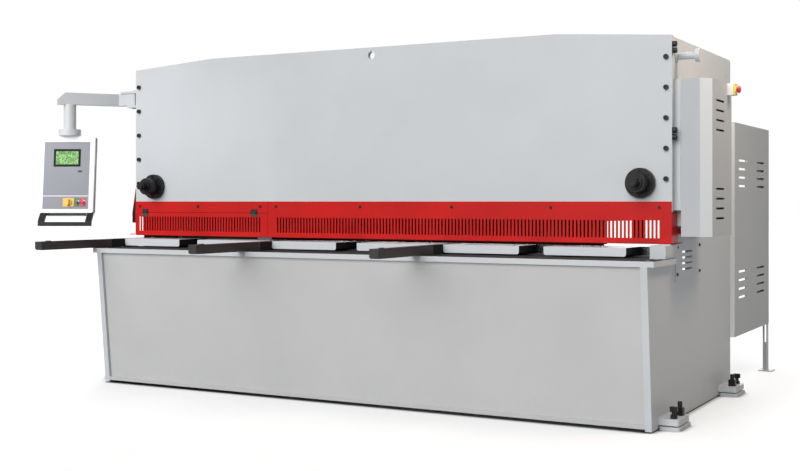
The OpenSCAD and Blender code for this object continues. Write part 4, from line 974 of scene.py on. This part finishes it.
# %% Oil pipes
barrels_low, barrels_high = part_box("cylinder_barrels")
BARREL_RADIUS, PIPE_RADIUS = 0.080, 0.008
RAM_X = barrels_high.x - BARREL_RADIUS - MIDDLE_X
RAM_Y = (barrels_low.y + barrels_high.y) / 2 - FRONT_Y
PORT_Z, BARREL_TOP = barrels_low.z + 0.041, barrels_high.z
PUMP_Y, PUMP_TOP = 1.424, 1.850
PUSH_Y, PUSH_Z = 0.745, 1.885
PULL_X, PULL_Y, PULL_Z = 1.400, 0.775, 1.908
nut = lathe([(0.0085, 0.0), (0.0135, 0.0), (0.0135, 0.018), (0.0085, 0.018)], 6)
pipes, nuts = [], []


def lay_pipe(places, bend, end_axis):
    """A pipe through places on the machine, with a nut at the pump and one at the port."""
    corners = [at(*place) for place in places]
    pipes.append(tube(rounded(corners, bend), PIPE_RADIUS))
    nuts.extend([placed(nut, aimed(corners[0], (0, 0, 1))), placed(nut, aimed(corners[-1], end_axis))])


for side, pump_x in ((-1, -0.215), (1, -0.165)):
    lay_pipe([(pump_x, PUMP_Y, PUMP_TOP), (pump_x, PUMP_Y, PUSH_Z), (pump_x, PUSH_Y, PUSH_Z),
              (side * RAM_X, PUSH_Y, PUSH_Z), (side * RAM_X, RAM_Y, PUSH_Z),
              (side * RAM_X, RAM_Y, BARREL_TOP)], 0.018, (0, 0, 1))
for side, pump_x in ((-1, -0.135), (1, -0.110)):
    lay_pipe([(pump_x, PUMP_Y, PUMP_TOP), (pump_x, PUMP_Y, PULL_Z), (pump_x, PULL_Y, PULL_Z),
              (side * PULL_X, PULL_Y, PULL_Z), (side * PULL_X, PULL_Y, PORT_Z),
              (side * PULL_X, RAM_Y, PORT_Z), (side * (RAM_X - BARREL_RADIUS), RAM_Y, PORT_Z)],
             0.022, (-side, 0, 0))
print(len(pipes), "pipes and", len(nuts), "nuts laid")

# %% [markdown]
# Every hold-down takes its oil from one thin pipe, through a tee on its barrel. The barrels
# are found as the separate solids of their node, so that each of them gets its tee.

# %% Feed of the hold-downs
clamps = sorted(islands("hold_down_barrels"), key=lambda corners: corners[0].x)
clamp_top, clamp_y = clamps[0][1].z, (clamps[0][0].y + clamps[0][1].y) / 2
clamp_x = [(low.x + high.x) / 2 for low, high in clamps]
FEED_UP, FEED_RADIUS = 0.016, 0.006
feed_ends = [Vector((x, clamp_y, clamp_top + FEED_UP)) for x in (clamp_x[0], clamp_x[-1])]
pipes.append(tube(feed_ends, FEED_RADIUS))
tee = lathe([(0, 0.028), (0.010, 0.028), (0.010, 0.006), (0.015, 0.006), (0.015, -0.001)], 6)
tees = [placed(tee, Matrix.Translation((x, clamp_y, clamp_top))) for x in clamp_x]
piece("oil_pipes", joined(pipes), pipe_steel, "frame")
piece("pipe_nuts", joined(nuts + tees), zinc, "frame")
print(len(pipes), "pipes,", len(nuts), "nuts and", len(tees), "tees placed")

# %% [markdown]
# Thin plates close the step in the cabinet's back beside the guard's wing, the throat
# behind it, and the seam at the flap's free end. A dark red skirt hangs under the gauge beam,
# a sheet of painted shade that hides lit parts behind the guard's slots. Each is a box
# between two corners, so a table of corners is all they need.

# %% Closing plates
plate_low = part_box("front_plate")[0]
back_low, back_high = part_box("cabinet_back")
gauge_low, gauge_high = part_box("gauge_beam")
closing_plates = (
    ("wing_shield", (SIDE_FACE + 0.006, back_low.y + 0.052, back_low.z + 0.001),
     (back_high.x - 0.0005, back_low.y + 0.054, plate_low.z + 0.0055), coat["painted_grey"], "frame"),
    ("throat_shield", (SIDE_FACE + 0.0002, FRONT_Y + 0.5545, 0.8905),
     (SIDE_FACE + 0.0045, FRONT_Y + 0.750, 0.9565), coat["painted_grey"], "frame"),
    ("seam_backing", (PLATE_LEFT + 0.0055, FRONT_Y + 0.3574, 1.004),
     (PLATE_LEFT + 0.055, FRONT_Y + 0.3594, 1.026), coat["guard_red"], "frame"),
    # Dark red skirt: a sheet of painted shade behind the guard's slots.
    ("gauge_skirt", (gauge_low.x + 0.001, FRONT_Y + 1.002, 0.8198),
     (gauge_high.x - 0.001, FRONT_Y + 1.012, 0.8425), special["gauge_beam"], "gauge"))
for name, low, high, material, body in closing_plates:
    piece(name, sheet(low, high), material, body)
print(len(closing_plates), "closing plates placed")

# %% [markdown]
# The guard's sheet ends in a narrow hem along its lower edge, whose lowest strip is painted
# dark red as painted shade.
# It is made as a strip for the flap and another for the fixed guard, so that the flap's
# hem swings with the flap. A short black edge finishes the tab at the flap's free end.

# %% Hem of the guard
GUARD_SHEET, TAB_END = 0.003, PLATE_LEFT + 0.006
flap_low, flap_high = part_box("guard_flap")
right_low, right_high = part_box("guard_right")


def hem(low, high):
    return sheet((*low, GUARD_LOW - HEM), (*high, GUARD_LOW + 0.0002))


flap_hem = hem((max(flap_low.x, TAB_END), flap_low.y), (flap_high.x, flap_low.y + GUARD_SHEET))
front_hem = hem((max(right_low.x, TAB_END), right_low.y), (right_high.x, right_low.y + GUARD_SHEET))
wing_hem = hem((right_high.x - GUARD_SHEET, right_low.y), (right_high.x, right_high.y))
piece("flap_hem", flap_hem, special["guard_right"], "flap")
piece("guard_hem", joined([front_hem, wing_hem]), special["guard_right"], "frame")
piece("tab_edge", sheet((flap_low.x, flap_low.y + 0.0005, GUARD_LOW - 0.0005),
                        (TAB_END, flap_low.y + 0.018, GUARD_LOW + 0.0045)), coat["black_plastic"], "flap")
print("hems and tab edge placed")

# %% [markdown]
# The emergency stop's lid has a small screw in every corner. The places are taken from
# the lid's own box, so the screws follow it.

# %% Emergency stop fittings
lid_low, lid_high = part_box("estop_lid")
LID_THICK, SCREW_IN = 0.011, 0.0065
lid_screws = [placed(socket_head(0.003, 0.0016), aimed((lid_low.x + LID_THICK - 0.0001, y, z), (1, 0, 0)))
              for y in (lid_low.y + SCREW_IN, lid_high.y - SCREW_IN)
              for z in (lid_low.z + SCREW_IN, lid_high.z - SCREW_IN)]
piece("estop_screws", joined(lid_screws), zinc, "frame")
print(len(lid_screws), "lid screws")

# %% [markdown]
# The studio is a pale floor under a soft white sky. The background has to stay white
# without lighting the machine, so rays from the camera, or through glass, see white, rays
# from a mirror see partly white, and all others see the dimmer sky.

# %% Sky
MIRROR_SHARE = 0.45


def seen_directly(root):
    """1 for rays that come from the camera or through glass, and a share for a mirror's."""
    rays = root.node("ShaderNodeLightPath").socket.node.outputs
    camera_ray, mirror_ray, glass_ray = (Field(root.tree, rays[kind]) for kind in
                                         ("Is Camera Ray", "Is Glossy Ray", "Is Transmission Ray"))
    return camera_ray + mirror_ray * MIRROR_SHARE + glass_ray


def white_sky(strength):
    world = bpy.data.worlds.new("studio_sky")
    scene.world = world
    world.use_nodes = True
    tree = world.node_tree
    sky = tree.nodes["Background"]
    sky.inputs["Color"].default_value = (0.95, 0.97, 1.0, 1.0)
    sky.inputs["Strength"].default_value = strength
    root = Field(tree, sky.outputs[0])
    white = root.node("ShaderNodeBackground", {}, {"Color": (1, 1, 1, 1), "Strength": 1.0})
    mixed = root.node("ShaderNodeMixShader", {}, {0: seen_directly(root), 1: root, 2: white})
    tree.links.new(mixed.socket, tree.nodes["World Output"].inputs["Surface"])


white_sky(0.26)
print("sky ready")

# %% [markdown]
# A wide, soft sun stands in front and a little to the left, and a weaker one behind the
# machine on the left. A small warm lamp lights the top of the right side, and another the
# control case. The angle of a sun sets how soft its shadows are.

# %% Lamps
MIDDLE_OF_MACHINE = (0, 0, 0.9)


def lamp(name, place, aim, light):
    holder = bpy.data.objects.new(name, light)
    scene.collection.objects.link(holder)
    holder.location = place
    holder.rotation_euler = (Vector(aim) - Vector(place)).to_track_quat("-Z", "Y").to_euler()
    holder.visible_camera = False


def sun(name, place, angle, power):
    light = bpy.data.lights.new(name, "SUN")
    light.energy, light.angle = power, math.radians(angle)
    lamp(name, place, MIDDLE_OF_MACHINE, light)


def small_lamp(name, place, aim, width, power, colour=(1.0, 1.0, 1.0)):
    light = bpy.data.lights.new(name, "AREA")
    light.energy, light.size, light.color = power, width, colour
    lamp(name, place, aim, light)


sun("key", (-1.2, -8.6, 5.9), 50, 2.45)
small_lamp("side", (3.05, -0.45, 2.95), (1.80, -0.25, 1.80), 0.7, 27, (1.0, 0.84, 0.66))
small_lamp("case", (-1.82, -1.9, 1.62), (-2.02, -0.9, 1.30), 0.4, 3.5)
sun("back", (-3.4, 8.6, 4.4), 40, 1.1)
print("4 lamps placed")

# %% [markdown]
# The floor looks white all round, and darker only close to the machine. It glows towards
# the camera, less so where shade gathers in corners, which Ambient Occlusion measures at a
# wide and at a near distance.

# %% Floor
FLOOR_REACH, FLOOR_GLOW = 60.0, 0.66
floor_mesh = bpy.data.meshes.new("floor")
floor_mesh.from_pydata([(-FLOOR_REACH, -FLOOR_REACH, 0), (FLOOR_REACH, -FLOOR_REACH, 0),
                        (FLOOR_REACH, FLOOR_REACH, 0), (-FLOOR_REACH, FLOOR_REACH, 0)], [], [(0, 1, 2, 3)])
floor = bpy.data.objects.new("floor", floor_mesh)
scene.collection.objects.link(floor)


def pale_floor():
    """A matt floor that glows towards the camera, less so in corners where shade gathers."""
    material, root, place = start("pale_floor")
    cloud = root.noise(place, 1.5, 3.0)
    wide, near = (root.node("ShaderNodeAmbientOcclusion", {"samples": 8}, {"Distance": away}, 1)
                  for away in (0.8, 0.05))
    contact = near.span(0.35, 0.9)
    plain = cloud.span(0.3, 0.7).blend(rgba([0.40] * 3), rgba([0.44] * 3))
    tone = contact.blend(rgba([0.01] * 3), plain)
    shade = wide.span(0.2, 1.0, 0.6, 1.0) * contact
    lit = (seen_directly(root) * shade * FLOOR_GLOW).blend(rgba([0.0] * 3), rgba([1.0] * 3))
    return finish(material, tone, 0.8, Emission_Color=lit, Emission_Strength=1.0)


floor_mesh.materials.append(pale_floor())
print("studio ready")

# %% [markdown]
# The camera stands level, to the right of the machine and below its top edge, with a
# slightly long lens. A small shift keeps the machine in the frame without tilting the
# view, so upright edges stay upright.

# %% Camera
CAMERA_PLACE = at(3.342, -5.400, 1.079)
CAMERA_TURN = 28.77
LENS_MM, SENSOR_MM = 54.27, 36.0
DROP = -0.0425
camera_data = bpy.data.cameras.new("camera")
camera_data.lens, camera_data.sensor_width, camera_data.shift_y = LENS_MM, SENSOR_MM, DROP
camera = bpy.data.objects.new("camera", camera_data)
scene.collection.objects.link(camera)
camera.location = CAMERA_PLACE
camera.rotation_euler = Euler((math.radians(90), 0, math.radians(CAMERA_TURN)))
scene.camera = camera
scene.view_settings.view_transform = "Standard"
print("camera at", tuple(round(number, 3) for number in CAMERA_PLACE))

# %% [markdown]

# %% The end
print("scene built")
